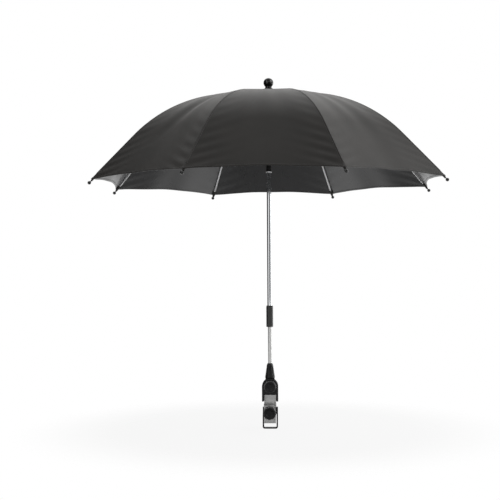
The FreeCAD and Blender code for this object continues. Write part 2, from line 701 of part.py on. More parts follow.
tunnel = circle(crown, "tunnel", "XZ_Plane", ("ring_radius", PIVOT), "ring_wire_dia + 0.2")
groove(crown, tunnel)
node("crown", crown)
ring = doc.addObject("Part::Torus", "crown_ring")
ring.setExpression("Radius1", bound("ring_radius"))
ring.setExpression("Radius2", bound("ring_wire_dia / 2"))
put(ring, ("0", "0", PIVOT))
node("crown_ring", ring)

# Canopy cap: round cloth patch clamped under the finial, over the inner edges of the gores
cap = cut(
    "canopy_cap",
    bar("cap_disc", "cap_dia", "cloth_thick", ("0", "0", "cloth_top - cloth_thick")),
    bar("cap_hole", "stud_dia + 0.4", "4", ("0", "0", "cloth_top - 2")),
)
node("canopy_cap", cap)

# Finial: black ball on a short flared neck, screwed onto the stud
finial = cut(
    "finial",
    fuse("finial_whole",
         ball("finial_ball", "finial_dia", ("0", "0", "cloth_top + finial_height - finial_dia / 2")),
         bar("finial_neck", "finial_neck_dia", "finial_height - finial_dia * 0.72", ("0", "0", "cloth_top")),
         bar("finial_foot", "finial_neck_dia + 3", "1.6", ("0", "0", "cloth_top"))),
    bar("finial_bore", "stud_dia", "stud_length - 2 * cloth_thick + 0.3", ("0", "0", "cloth_top - 0.001")),
)
node("finial", finial)


# Ribs, stretchers and cloth follow one line: straight, then an arc, then straight
def deg(text):
    """Angle on the sheet in radians."""
    return math.radians(value(text))


def bend_start(start, end, slopes, radius):
    """Length of the first straight when the arc's radius is given."""
    run = end[0] - start[0] - radius * (math.sin(slopes[1]) - math.sin(slopes[0]))
    fall = start[1] - end[1] - radius * (math.cos(slopes[0]) - math.cos(slopes[1]))
    return (run * math.sin(slopes[1]) - fall * math.cos(slopes[1])) / math.sin(slopes[1] - slopes[0])


def bent_line(start, end, slopes, first):
    """Five points of a line, arc and line from start to end, each with its slope, for a first straight."""
    run = end[0] - start[0] - first * math.cos(slopes[0])
    fall = start[1] - end[1] - first * math.sin(slopes[0])
    radius = (run * math.sin(slopes[1]) - fall * math.cos(slopes[1])) / (1 - math.cos(slopes[1] - slopes[0]))
    at = (start[0] + first * math.cos(slopes[0]), start[1] - first * math.sin(slopes[0]))
    spots = [(start, slopes[0])]
    for slope in (slopes[0], (slopes[0] + slopes[1]) / 2, slopes[1]):
        shift = (math.sin(slope) - math.sin(slopes[0]), math.cos(slopes[0]) - math.cos(slope))
        spots.append(((at[0] + radius * shift[0], at[1] - radius * shift[1]), slope))
    spots.append((end, slopes[1]))
    return spots


def slope_at(spots, reach, radius):
    """Slope of a bent line at a distance from the pole."""
    sine = math.sin(spots[1][1]) + (reach - spots[1][0][0]) / radius
    return math.asin(min(max(sine, math.sin(spots[1][1])), math.sin(spots[3][1])))


def moved(spots, inward):
    """Same line moved towards the inside by a distance."""
    return [(r - inward * math.sin(slope), z - inward * math.cos(slope)) for (r, z), slope in spots]


def in_plane(spot, angle=0.0):
    """Point of a radius and height, in the upright plane at an angle about the pole."""
    return FreeCAD.Vector(spot[0] * math.cos(angle), spot[0] * math.sin(angle), spot[1])


def chain(points):
    """Edges line, arc, line through five points."""
    return [Part.LineSegment(points[0], points[1]).toShape(),
            Part.Arc(points[1], points[2], points[3]).toShape(),
            Part.LineSegment(points[3], points[4]).toShape()]


def across(centre, dia, length):
    """Round bar along Y, centred on the rib's plane."""
    start = FreeCAD.Vector(centre.x, -length / 2, centre.z)
    return Part.makeCylinder(dia / 2, length, start, FreeCAD.Vector(0, 1, 0))


def flat(centre, angle, low, high, half_low, half_high, width):
    """Flat plate in the rib's plane, reaching from low to high along a direction and about it across."""
    plate = Part.makeBox(high - low, width, half_high - half_low, FreeCAD.Vector(low, -width / 2, half_low))
    turned = FreeCAD.Rotation(FreeCAD.Vector(0, 1, 0), math.degrees(angle))
    plate.Placement = FreeCAD.Placement(centre, turned)
    return plate


rib_step = 2 * math.pi / RIB_COUNT
slope_in, slope_out = deg("root_slope"), deg("outer_slope")
summit = (0.0, value("cloth_top"))
corner = (value("rim_radius"), value("cloth_top - rim_drop"))
root_length = bend_start(summit, corner, (slope_in, slope_out), value("bend_radius"))
ridge = bent_line(summit, corner, (slope_in, slope_out), root_length)
middle_line = [in_plane(p) for p in moved(ridge, value(RIDGE_OFFSET))]
outward = FreeCAD.Vector(math.cos(slope_out), 0, -math.sin(slope_out))
hinge_point = FreeCAD.Vector(value("ring_radius"), 0, value(PIVOT))
root_way = FreeCAD.Vector(math.cos(slope_in), 0, -math.sin(slope_in))
channel_start = hinge_point + root_way * value("channel_lead")
rib_end = middle_line[4] + outward * 1.5
spine = Part.Wire(chain([channel_start, *middle_line[1:4], rib_end]))

# Place of the stretcher's pin: below the rib at the lug's distance from the pole
middle_radius = value("bend_radius") - value(RIDGE_OFFSET)
middle_spots = [((p.x, p.z), slope) for p, (spot, slope) in zip(middle_line, ridge)]
lug_slope = slope_at(middle_spots, value("lug_reach"), middle_radius)
lug_normal = FreeCAD.Vector(math.sin(lug_slope), 0, math.cos(lug_slope))
arc_centre = middle_line[1] - FreeCAD.Vector(math.sin(slope_in), 0, math.cos(slope_in)) * middle_radius
lug_root = arc_centre + lug_normal * middle_radius
pin_point = lug_root - lug_normal * value("lug_drop")
runner_point = FreeCAD.Vector(value("ring_radius"), 0, value(RUNNER))

# Rib: folded steel channel with an eye, two lugs and a riveted pin
wide, deep, wall = value("rib_width"), value("rib_depth"), value("rib_wall")
section = []
for side, up in ((-wide / 2, -deep / 2), (-wide / 2, deep / 2), (wide / 2, deep / 2), (wide / 2, -deep / 2),
                 (wide / 2 - wall, -deep / 2), (wide / 2 - wall, deep / 2 - wall),
                 (wall - wide / 2, deep / 2 - wall), (wall - wide / 2, -deep / 2)):
    section.append(channel_start + FreeCAD.Vector(math.sin(slope_in) * up, side, math.cos(slope_in) * up))
profile = Part.makePolygon(section + section[:1])
channel = spine.makePipeShell([profile], True, False)
eye_thick = value("rib_eye_thick")
rib_pieces = [
    across(hinge_point, value("rib_eye_dia"), eye_thick),
    flat(hinge_point, slope_in, 0, value("rib_eye_reach"), -1.2, deep / 2 - wall / 2, eye_thick),
]
for sign in (-1, 1):
    lug_half = value("lug_length") / 2
    lug = flat(lug_root, lug_slope, -lug_half, lug_half, -value("lug_drop + lug_edge"), -0.2, wall + 0.2)
    lug.translate(FreeCAD.Vector(0, sign * (wide / 2 - wall / 2 + 0.1), 0))
    rib_pieces.append(lug)
rib_pieces.append(across(pin_point, value("rib_pin_dia"), wide + 1.2))
rib_shape = channel.fuse(rib_pieces).removeSplitter()
rib_shape = rib_shape.cut(across(hinge_point, value("ring_wire_dia") + 0.16, 8))

# Rib tip: steel neck in the channel's end and a black ball
tip_centre = middle_line[4] + outward * value("tip_reach")
neck = Part.makeCylinder(wide / 2 - wall - 0.1, value("tip_reach") + 6, middle_line[4] - outward * 6, outward)
tip_shape = neck.fuse(Part.makeSphere(value("tip_dia") / 2, tip_centre)).removeSplitter()

# Stretcher: folded channel with flattened ends, one eye on the rib's pin and one in the runner's slot
along = runner_point - pin_point
stretcher_length = along.Length
stretcher_angle = math.atan2(-along.z, along.x)
thin, reach = value("stretcher_thick"), value("stretcher_flat")
beam = flat(pin_point, stretcher_angle, reach, stretcher_length - reach, -deep / 2, deep / 2, wide)
hollow = flat(pin_point, stretcher_angle, reach - 1, stretcher_length - reach + 1,
              wall - deep / 2, deep, wide - 2 * wall)
stretcher_shape = beam.cut(hollow).fuse([
    across(pin_point, 4.0, thin),
    across(runner_point, 4.0, thin),
    flat(pin_point, stretcher_angle, 0, reach + 6, -deep / 2 + 0.1, 1.2, thin),
    flat(pin_point, stretcher_angle, stretcher_length - reach - 6, stretcher_length, -deep / 2 + 0.1, 1.2, thin),
]).removeSplitter()
holes = [across(pin_point, value("rib_pin_dia") + 2 * value("pin_clear"), 8),
         across(runner_point, value("ring_wire_dia") + 0.2, 8)]
stretcher_shape = stretcher_shape.cut(holes)

# Gore: cloth from one mid-panel line over its rib to the next, dipping between the ribs
strips = []
for part in (-1.0, -0.5, 0.0, 0.5, 1.0):
    share = 1 - (1 - abs(part)) ** 2
    angle = part * (rib_step / 2 - 0.0003)
    flatten = math.cos(rib_step / 2) / math.cos(rib_step / 2 - abs(angle))
    slopes = [math.atan(math.tan(s) / flatten) for s in (slope_in, slope_out)]
    dip, rise = value("panel_dip") * share, value("hem_rise") * share
    begin = (value("cloth_inner") * flatten, value("cloth_top") - value("cloth_inner") * math.tan(slope_in))
    finish = (corner[0] * flatten - dip * math.sin(slopes[1]) - rise * math.cos(slopes[1]),
              corner[1] - dip * math.cos(slopes[1]) + rise * math.sin(slopes[1]))
    first = (ridge[1][0][0] - value("cloth_inner")) * flatten / math.cos(slopes[0])
    line = bent_line(begin, finish, slopes, first)
    outside = [in_plane(p, angle) for p in moved(line, 0)]
    inside = [in_plane(p, angle) for p in moved(line, value("cloth_thick"))]
    edges = chain(outside)
    edges.append(Part.LineSegment(outside[4], inside[4]).toShape())
    edges += chain(inside[::-1])
    edges.append(Part.LineSegment(inside[0], outside[0]).toShape())
    strips.append(Part.Wire(edges))
gore_shape = Part.makeLoft(strips, True, True)

for i in range(RIB_COUNT):
    spin = FreeCAD.Rotation(FreeCAD.Vector(0, 0, 1), math.degrees(rib_step * (i + 0.5)))
    for label, shape in (("rib", rib_shape), ("rib_tip", tip_shape), ("stretcher", stretcher_shape),
                         ("canopy", gore_shape)):
        piece = doc.addObject("Part::Feature", f"{label}_{i + 1}")
        piece.Shape = shape
        piece.Placement = FreeCAD.Placement(FreeCAD.Vector(), spin)
        node(f"{label}_{i + 1}", piece)

doc.recompute()
for thing in doc.Objects:
    if "Invalid" in thing.State or "Error" in thing.State:
        raise RuntimeError(f"{thing.Label} did not recompute: {thing.State}")
for thing in nodes:
    if thing.Shape.isNull() or not thing.Shape.isValid():
        raise RuntimeError(f"{thing.Label} has no valid shape")

# Pivot points of the folding linkage
print("rib pivot", hinge_point, "pin", pin_point, "runner", runner_point)
print("tip", tip_centre, "stretcher length", stretcher_length)

os.makedirs("parts", exist_ok=True)
for thing in nodes:
    thing.Shape.exportStep(f"parts/{thing.Label}.step")
print(len(nodes), "sub-parts")
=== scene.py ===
import math

import bpy
import numpy as np
from mathutils import Matrix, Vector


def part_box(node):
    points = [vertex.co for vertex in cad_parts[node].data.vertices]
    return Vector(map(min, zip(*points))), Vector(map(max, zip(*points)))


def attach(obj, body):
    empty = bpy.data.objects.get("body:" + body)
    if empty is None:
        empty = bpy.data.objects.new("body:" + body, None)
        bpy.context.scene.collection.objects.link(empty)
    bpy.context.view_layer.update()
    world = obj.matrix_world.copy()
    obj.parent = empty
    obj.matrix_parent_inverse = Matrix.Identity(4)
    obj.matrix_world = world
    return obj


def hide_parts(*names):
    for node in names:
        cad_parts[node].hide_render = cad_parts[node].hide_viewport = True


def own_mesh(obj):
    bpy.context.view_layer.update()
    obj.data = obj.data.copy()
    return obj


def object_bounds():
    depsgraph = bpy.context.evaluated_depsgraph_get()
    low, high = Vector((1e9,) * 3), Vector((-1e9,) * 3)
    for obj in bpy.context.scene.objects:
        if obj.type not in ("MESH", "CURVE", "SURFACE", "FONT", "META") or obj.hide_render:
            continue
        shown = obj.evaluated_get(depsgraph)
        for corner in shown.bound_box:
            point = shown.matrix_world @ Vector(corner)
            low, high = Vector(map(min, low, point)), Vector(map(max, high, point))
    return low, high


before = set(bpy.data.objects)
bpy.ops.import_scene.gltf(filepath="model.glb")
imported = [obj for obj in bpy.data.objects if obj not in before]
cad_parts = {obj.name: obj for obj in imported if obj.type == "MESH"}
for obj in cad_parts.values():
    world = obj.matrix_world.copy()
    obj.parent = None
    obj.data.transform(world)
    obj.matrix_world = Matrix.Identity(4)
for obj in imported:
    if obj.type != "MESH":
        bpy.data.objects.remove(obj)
cad_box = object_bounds()

# Clamp bracket, rivets and tilt bolt: a strip of zinc-plated mild steel, bent to a tongue, a shelf and
# a front leg with a nut welded on. Plating leaves a mid-grey metal with faint rolling lines and soft
# cloudy patches.
def linear(code):
    """sRGB hex colour as linear red, green, blue and alpha."""
    parts = np.array([int(code[i:i + 2], 16) for i in (1, 3, 5)]) / 255
    bright = np.where(parts <= 0.04045, parts / 12.92, ((parts + 0.055) / 1.055) ** 2.4)
    return (*bright.tolist(), 1.0)


def add(tree, kind, inputs=(), links=(), **settings):
    """Adds one shader node with its settings, its socket values and its incoming links."""
    made = tree.nodes.new(kind)
    for name, setting in settings.items():
        setattr(made, name, setting)
    for name, number in dict(inputs).items():
        made.inputs[name].default_value = number
    for name, source in dict(links).items():
        tree.links.new(source, made.inputs[name])
    return made


def new_finish(name, **sockets):
    """Starts a material whose shader sockets hold the values given; underscores stand for spaces."""
    finish = bpy.data.materials.new(name)
    finish.use_nodes = True
    shader = finish.node_tree.nodes["Principled BSDF"]
    for socket, number in sockets.items():
        shader.inputs[socket.replace("_", " ")].default_value = number
    return finish, finish.node_tree, shader


def dress(finish, *nodes):
    """Gives CAD nodes their finish through the slots of their objects."""
    for name in nodes:
        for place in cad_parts[name].material_slots:
            place.material = finish


zinc, tree, shader = new_finish("zinc_plated_steel", Metallic=1.0)
place = add(tree, "ShaderNodeTexCoord").outputs["Object"]
rolled = add(tree, "ShaderNodeMapping", {"Scale": (1 / 0.0007, 1 / 0.0007, 1 / 0.030)},
             {"Vector": place})
lines = add(tree, "ShaderNodeTexNoise", {"Scale": 1.0, "Detail": 3.0},
            {"Vector": rolled.outputs["Vector"]})
clouds = add(tree, "ShaderNodeTexNoise", {"Scale": 1 / 0.006, "Detail": 4.0}, {"Vector": place})
tone = add(tree, "ShaderNodeValToRGB", links={"Fac": clouds.outputs["Fac"]})
tone.color_ramp.elements[0].position = 0.3
tone.color_ramp.elements[0].color = linear("#b9b9b8")
tone.color_ramp.elements[1].position = 0.7
tone.color_ramp.elements[1].color = linear("#d0d0cf")
gloss = add(tree, "ShaderNodeMapRange", {"To Min": 0.30, "To Max": 0.48}, {"Value": lines.outputs["Fac"]})
edges = add(tree, "ShaderNodeBevel", {"Radius": 0.0006})
grain = add(tree, "ShaderNodeBump", {"Strength": 0.12, "Distance": 0.0002},
            {"Height": lines.outputs["Fac"], "Normal": edges.outputs["Normal"]})
tree.links.new(tone.outputs["Color"], shader.inputs["Base Color"])
tree.links.new(gloss.outputs["Result"], shader.inputs["Roughness"])
tree.links.new(grain.outputs["Normal"], shader.inputs["Normal"])
dress(zinc, "clamp_bracket", "jaw_rivets", "yoke_rivets", "tilt_bolt")

# Jaw frame, yoke and pole socket: black ABS mouldings, riveted to the strip and hung on the tilt bolt.
# The mould was spark eroded, so the plastic has a fine even grain and a soft satin gloss.
abs_black, tree, shader = new_finish("satin_black_abs", IOR=1.52, Specular_IOR_Level=0.3)
place = add(tree, "ShaderNodeTexCoord").outputs["Object"]
spark = add(tree, "ShaderNodeTexNoise", {"Scale": 1 / 0.0007, "Detail": 2.0}, {"Vector": place})
rubbed = add(tree, "ShaderNodeTexNoise", {"Scale": 1 / 0.014, "Detail": 3.0}, {"Vector": place})
tone = add(tree, "ShaderNodeValToRGB", links={"Fac": rubbed.outputs["Fac"]})
tone.color_ramp.elements[0].color = linear("#0b0b0b")
tone.color_ramp.elements[1].color = linear("#161616")
gloss = add(tree, "ShaderNodeMapRange", {"To Min": 0.30, "To Max": 0.44}, {"Value": rubbed.outputs["Fac"]})
edges = add(tree, "ShaderNodeBevel", {"Radius": 0.0009})
grain = add(tree, "ShaderNodeBump", {"Strength": 0.25, "Distance": 0.0001},
            {"Height": spark.outputs["Fac"], "Normal": edges.outputs["Normal"]})
tree.links.new(tone.outputs["Color"], shader.inputs["Base Color"])
tree.links.new(gloss.outputs["Result"], shader.inputs["Roughness"])
tree.links.new(grain.outputs["Normal"], shader.inputs["Normal"])
dress(abs_black, "jaw_frame", "yoke", "pole_socket")

# Tilt knob and clamp knob: black ABS hand knobs with ten shallow finger scallops and a dished face,
# moulded over the bolt and the screw. Their faces carry a coarse grip grain.
KNOB_LOBES = 10
SCALLOP = 0.055
tilt_low, tilt_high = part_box("tilt_knob")
clamp_low, clamp_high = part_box("clamp_knob")


def skin(name, grid, finish):
    """Mesh of a grid of points whose columns close round and whose first and last rows are fanned to
    their middle, with a map of distances in metres round and along it."""
    rows, columns = grid.shape[:2]
    spot = np.arange(rows * columns).reshape(rows, columns)
    beside = np.roll(spot, -1, axis=1)
    quads = np.stack([spot[:-1], beside[:-1], beside[1:], spot[1:]], axis=-1).reshape(-1, 4)
    start = np.stack([spot[0] * 0 + rows * columns, beside[0], spot[0]], axis=-1)
    stop = np.stack([spot[-1] * 0 + rows * columns + 1, spot[-1], beside[-1]], axis=-1)
    points = np.concatenate([grid.reshape(-1, 3), grid[[0, -1]].mean(axis=1)])
    mesh = bpy.data.meshes.new(name)
    mesh.from_pydata(points.tolist(), [], quads.tolist() + start.tolist() + stop.tolist())
    around = np.linalg.norm(np.roll(grid, -1, axis=1) - grid, axis=-1).mean(axis=0)
    along = np.linalg.norm(np.diff(grid, axis=0), axis=-1).mean(axis=1)
    left, low = np.meshgrid(np.cumsum(around) - around, np.cumsum(along) - along)
    right, high = np.meshgrid(np.cumsum(around), np.cumsum(along))
    places = np.stack([left, low, right, low, right, high, left, high], axis=-1)
    weave = mesh.uv_layers.new(name="weave")
    weave.data.foreach_set("uv", np.concatenate([places.ravel(), np.zeros(12 * columns)]))
    piece = finished(name, mesh, [finish])
    mesh.set_sharp_from_angle(angle=math.radians(60))
    return piece


def finished(name, mesh, finishes):
    """Object of a smooth closed mesh with outward faces and its finishes."""
    corners = np.empty(3 * len(mesh.vertices))
    mesh.vertices.foreach_get("co", corners)
    corners = corners.reshape(-1, 3) - corners[:3]
    mesh.calc_loop_triangles()
    triples = np.empty(3 * len(mesh.loop_triangles), dtype=int)
    mesh.loop_triangles.foreach_get("vertices", triples)
    a, b, c = np.moveaxis(corners[triples.reshape(-1, 3)], 1, 0)
    if np.einsum("ij,ij->", a, np.cross(b, c)) < 0:
        mesh.flip_normals()
    mesh.polygons.foreach_set("use_smooth", np.ones(len(mesh.polygons), dtype=bool))
    for finish in finishes:
        mesh.materials.append(finish)
    mesh.update()
    piece = bpy.data.objects.new(name, mesh)
    bpy.context.scene.collection.objects.link(piece)
    return piece


def knob_grid(low, high):
    """Knob about an axis along Y: a rounded profile from the back's middle over the rim into the dished
    front's middle, turned round, with the rim drawn in at each scallop."""
    middle = ((low[0] + high[0]) / 2, (low[2] + high[2]) / 2)
    radius = (high[0] - low[0]) / 2
    thick = high[1] - low[1]
    edge = np.linspace(0, math.pi / 2, 9)
    soft = 0.09
    reach = [0.02, 0.5, 0.85]
    depth = [0.0, 0.0, 0.0]
    reach += (1 - soft + soft * np.sin(edge)).tolist() + (1 - 2 * soft + 2 * soft * np.cos(edge)).tolist()
    depth += (soft * (1 - np.cos(edge))).tolist() + (1 - 2 * soft + 2 * soft * np.sin(edge)).tolist()
    reach += [0.72, 0.60, 0.54, 0.50, 0.46, 0.30, 0.02]
    depth += [1.0, 0.99, 0.96, 0.89, 0.86, 0.85, 0.85]
    reach, depth = np.array(reach)[:, None], np.array(depth)[:, None]
    turn = np.linspace(0, 2 * math.pi, 240, endpoint=False)[None, :]
    scallop = np.clip(-np.cos(KNOB_LOBES * turn), 0, 1) ** 1.5
    rim = np.clip((reach - 0.72) / 0.2, 0, 1)
    out = radius * reach * (1 - SCALLOP * scallop * rim)
    return np.stack([middle[0] + out * np.sin(turn), high[1] - thick * depth + 0 * turn,
                     middle[1] + out * np.cos(turn)], axis=-1)


grip, tree, shader = new_finish("grained_black_abs", Base_Color=linear("#101010"), IOR=1.52,
                                Specular_IOR_Level=0.3)
place = add(tree, "ShaderNodeTexCoord").outputs["Object"]
# Grip grain of about 0.5 mm, drawn at 1.1 mm so that it shows
pebbles = add(tree, "ShaderNodeTexVoronoi", {"Scale": 1 / 0.0011}, {"Vector": place},
              feature="SMOOTH_F1")
gloss = add(tree, "ShaderNodeMapRange", {"To Min": 0.40, "To Max": 0.62},
            {"Value": pebbles.outputs["Distance"]})
grain = add(tree, "ShaderNodeBump", {"Strength": 0.5, "Distance": 0.0003},
            {"Height": pebbles.outputs["Distance"]})
tree.links.new(gloss.outputs["Result"], shader.inputs["Roughness"])
tree.links.new(grain.outputs["Normal"], shader.inputs["Normal"])

# Hands have polished the rims, so they shine more; their paler colour is a painted highlight, a thin line
# of light painted on the rims
polished_rim_painted_highlight, tree, shader = new_finish("polished_black_abs_painted_highlight", Base_Color=linear("#2a2a2a"), IOR=1.52,
                                   Specular_IOR_Level=0.8)
place = add(tree, "ShaderNodeTexCoord").outputs["Object"]
scuffs = add(tree, "ShaderNodeTexNoise", {"Scale": 1 / 0.003, "Detail": 3.0}, {"Vector": place})
gloss = add(tree, "ShaderNodeMapRange", {"To Min": 0.18, "To Max": 0.34}, {"Value": scuffs.outputs["Fac"]})
tree.links.new(gloss.outputs["Result"], shader.inputs["Roughness"])
RIM_ROWS = (12, 20)


def knob(name, low, high):
    """Knob of grained plastic whose rows over the front edge are polished and painted paler as a highlight.
    """
    grid = knob_grid(low, high)
    rows, columns = grid.shape[:2]
    piece = skin(name, grid, grip)
    piece.data.materials.append(polished_rim_painted_highlight)
    row = np.repeat(np.arange(rows - 1), columns)
    # Rows over the front edge take the polished finish, whose paler colour is a painted highlight
    polished_and_painted_rim = (row >= RIM_ROWS[0]) & (row < RIM_ROWS[1])
    rim = np.concatenate([polished_and_painted_rim, np.zeros(2 * columns, dtype=bool)])
    piece.data.polygons.foreach_set("material_index", rim.astype(int))
    return piece


tilt_knob = knob("tilt_knob_grip", tilt_low, tilt_high)
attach(tilt_knob, "tilt_handle")
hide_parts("tilt_knob")
clamp_knob = knob("clamp_knob_grip", clamp_low, clamp_high)
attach(clamp_knob, "clamp_spindle")
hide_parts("clamp_knob")

# Clamp screw: zinc-plated steel screw of 2 mm pitch, rolled thread, turned by the knob and
# running through the nut on the front leg to push the pad.
PITCH = 0.002
THREAD_DEPTH = 0.0006
NOSE_LENGTH = 0.0015
ROWS_PER_TURN = 12
screw_low, screw_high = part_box("clamp_screw")
screw_rows = ROWS_PER_TURN * round((screw_high[1] - screw_low[1]) / PITCH)
along = np.linspace(screw_low[1], screw_high[1], screw_rows)[:, None]
turn = np.linspace(0, 2 * math.pi, 40, endpoint=False)[None, :]
wave = np.abs(((along / PITCH + turn / (2 * math.pi)) % 1) * 2 - 1)
nose = np.clip((screw_high[1] - along) / NOSE_LENGTH, 0.6, 1)
out = (screw_high[0] - THREAD_DEPTH * np.clip(1.4 * wave - 0.2, 0, 1)) * nose
thread_grid = np.stack([out * np.sin(turn), along + 0 * turn, out * np.cos(turn)], axis=-1)
screw = skin("clamp_screw_thread", thread_grid, zinc)
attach(screw, "clamp_spindle")
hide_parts("clamp_screw")

# Pressure pad: black rubber disc moulded on a steel cup at the screw's end. Rubber is dull,
# nearly without gloss, with a faint speckle of chalk from the mould.
rubber, tree, shader = new_finish("moulded_black_rubber", IOR=1.52)
place = add(tree, "ShaderNodeTexCoord").outputs["Object"]
chalk = add(tree, "ShaderNodeTexNoise", {"Scale": 1 / 0.0025, "Detail": 5.0}, {"Vector": place})
tone = add(tree, "ShaderNodeValToRGB", links={"Fac": chalk.outputs["Fac"]})
tone.color_ramp.elements[0].color = linear("#1a1a1a")
tone.color_ramp.elements[1].color = linear("#2b2b2a")
gloss = add(tree, "ShaderNodeMapRange", {"To Min": 0.72, "To Max": 0.9}, {"Value": chalk.outputs["Fac"]})
grain = add(tree, "ShaderNodeBump", {"Strength": 0.3, "Distance": 0.0002}, {"Height": chalk.outputs["Fac"]})
tree.links.new(tone.outputs["Color"], shader.inputs["Base Color"])
tree.links.new(gloss.outputs["Result"], shader.inputs["Roughness"])
tree.links.new(grain.outputs["Normal"], shader.inputs["Normal"])
dress(rubber, "pressure_pad")

# Lower tube and knuckle: satin drawn aluminium tube pressed into the socket, with a turned and
# zinc-plated steel tongue, fork and pin at its top. Drawing leaves fine lines along the tube and a
# silky, even shine.
satin, tree, shader = new_finish("satin_drawn_aluminium", Base_Color=linear("#c4c4c3"), Metallic=1.0)
place = add(tree, "ShaderNodeTexCoord").outputs["Object"]
drawn = add(tree, "ShaderNodeMapping", {"Scale": (1 / 0.0005, 1 / 0.0005, 1 / 0.080)},
            {"Vector": place})
lines = add(tree, "ShaderNodeTexNoise", {"Scale": 1.0, "Detail": 3.0},
            {"Vector": drawn.outputs["Vector"]})
gloss = add(tree, "ShaderNodeMapRange", {"To Min": 0.24, "To Max": 0.40},
            {"Value": lines.outputs["Fac"]})
grain = add(tree, "ShaderNodeBump", {"Strength": 0.10, "Distance": 0.0001},
            {"Height": lines.outputs["Fac"]})
tree.links.new(gloss.outputs["Result"], shader.inputs["Roughness"])
tree.links.new(grain.outputs["Normal"], shader.inputs["Normal"])
dress(satin, "lower_tube")
dress(zinc, "knuckle_tongue", "knuckle_fork", "knuckle_pin")

# Upper tube: steel tube, polished and chrome plated, pressed on the knuckle fork's plug. It mirrors its
# surroundings, with a slight waviness from polishing.
chrome, tree, shader = new_finish("chromed_steel", Base_Color=linear("#dddfe1"), Metallic=1.0)
place = add(tree, "ShaderNodeTexCoord").outputs["Object"]
polish = add(tree, "ShaderNodeMapping", {"Scale": (1 / 0.004, 1 / 0.004, 1 / 0.05)}, {"Vector": place})
waves = add(tree, "ShaderNodeTexNoise", {"Scale": 1.0, "Detail": 2.0}, {"Vector": polish.outputs["Vector"]})
gloss = add(tree, "ShaderNodeMapRange", {"To Min": 0.03, "To Max": 0.09}, {"Value": waves.outputs["Fac"]})
edges = add(tree, "ShaderNodeBevel", {"Radius": 0.0009})
grain = add(tree, "ShaderNodeBump", {"Strength": 0.03, "Distance": 0.0003},
            {"Height": waves.outputs["Fac"], "Normal": edges.outputs["Normal"]})
tree.links.new(gloss.outputs["Result"], shader.inputs["Roughness"])
tree.links.new(grain.outputs["Normal"], shader.inputs["Normal"])
dress(chrome, "upper_tube")

# Lock sleeve: charcoal ABS tube that slides over the knuckle and holds it straight. It is a little paler
# than the other mouldings, with faint lengthwise draw lines from being pulled off its core.
charcoal, tree, shader = new_finish("charcoal_abs", IOR=1.52, Specular_IOR_Level=0.4)
place = add(tree, "ShaderNodeTexCoord").outputs["Object"]
pulled = add(tree, "ShaderNodeMapping", {"Scale": (1 / 0.0012, 1 / 0.0012, 1 / 0.060)},
             {"Vector": place})
lines = add(tree, "ShaderNodeTexNoise", {"Scale": 1.0, "Detail": 3.0},
            {"Vector": pulled.outputs["Vector"]})
tone = add(tree, "ShaderNodeValToRGB", links={"Fac": lines.outputs["Fac"]})
tone.color_ramp.elements[0].color = linear("#323232")
tone.color_ramp.elements[1].color = linear("#434342")
gloss = add(tree, "ShaderNodeMapRange", {"To Min": 0.26, "To Max": 0.40}, {"Value": lines.outputs["Fac"]})
edges = add(tree, "ShaderNodeBevel", {"Radius": 0.0008})
grain = add(tree, "ShaderNodeBump", {"Strength": 0.15, "Distance": 0.0001},
            {"Height": lines.outputs["Fac"], "Normal": edges.outputs["Normal"]})
tree.links.new(tone.outputs["Color"], shader.inputs["Base Color"])
tree.links.new(gloss.outputs["Result"], shader.inputs["Roughness"])
tree.links.new(grain.outputs["Normal"], shader.inputs["Normal"])
dress(charcoal, "lock_sleeve")

# Runner and crown: black ABS, the runner sliding on the tube, the crown pressed on its top end. The
# catch is a bent leaf of zinc-plated spring steel inside the tube, and a wire ring, plated the same way,
# holds the ribs.
dress(abs_black, "runner", "crown")
dress(zinc, "runner_catch", "crown_ring")

# Ribs, stretchers and runner ferrule: channels rolled from bright-plated steel strip, with flattened and
# riveted ends, and a ring pressed on the runner's foot. The plating is pale and soft in shine, a little
# uneven from place to place.
RIBS = 8
plated, tree, shader = new_finish("bright_plated_steel", Metallic=1.0)
place = add(tree, "ShaderNodeTexCoord").outputs["Object"]
stain = add(tree, "ShaderNodeTexNoise", {"Scale": 1 / 0.012, "Detail": 4.0}, {"Vector": place})
tone = add(tree, "ShaderNodeValToRGB", links={"Fac": stain.outputs["Fac"]})
tone.color_ramp.elements[0].color = linear("#f0f0f1")
tone.color_ramp.elements[1].color = linear("#ffffff")
gloss = add(tree, "ShaderNodeMapRange", {"To Min": 0.40, "To Max": 0.60}, {"Value": stain.outputs["Fac"]})
tree.links.new(tone.outputs["Color"], shader.inputs["Base Color"])
tree.links.new(gloss.outputs["Result"], shader.inputs["Roughness"])
dress(plated, "runner_ferrule")
for k in range(RIBS):
    dress(plated, f"rib_{k + 1}", f"stretcher_{k + 1}")

# Rib tips and finial: glossy black balls of injection-moulded ABS, pushed on the ribs' steel ends and
# screwed on the crown's stud. A faint orange peel from the mould softens their highlight.
gloss_black, tree, shader = new_finish("gloss_black_abs", Base_Color=linear("#080808"), IOR=1.52,
                                       Roughness=0.16, Specular_IOR_Level=0.4)
place = add(tree, "ShaderNodeTexCoord").outputs["Object"]
peel = add(tree, "ShaderNodeTexNoise", {"Scale": 1 / 0.0018, "Detail": 1.0}, {"Vector": place})
grain = add(tree, "ShaderNodeBump", {"Strength": 0.08, "Distance": 0.0002}, {"Height": peel.outputs["Fac"]})
tree.links.new(grain.outputs["Normal"], shader.inputs["Normal"])
dress(gloss_black, "finial", *[f"rib_tip_{k + 1}" for k in range(RIBS)])

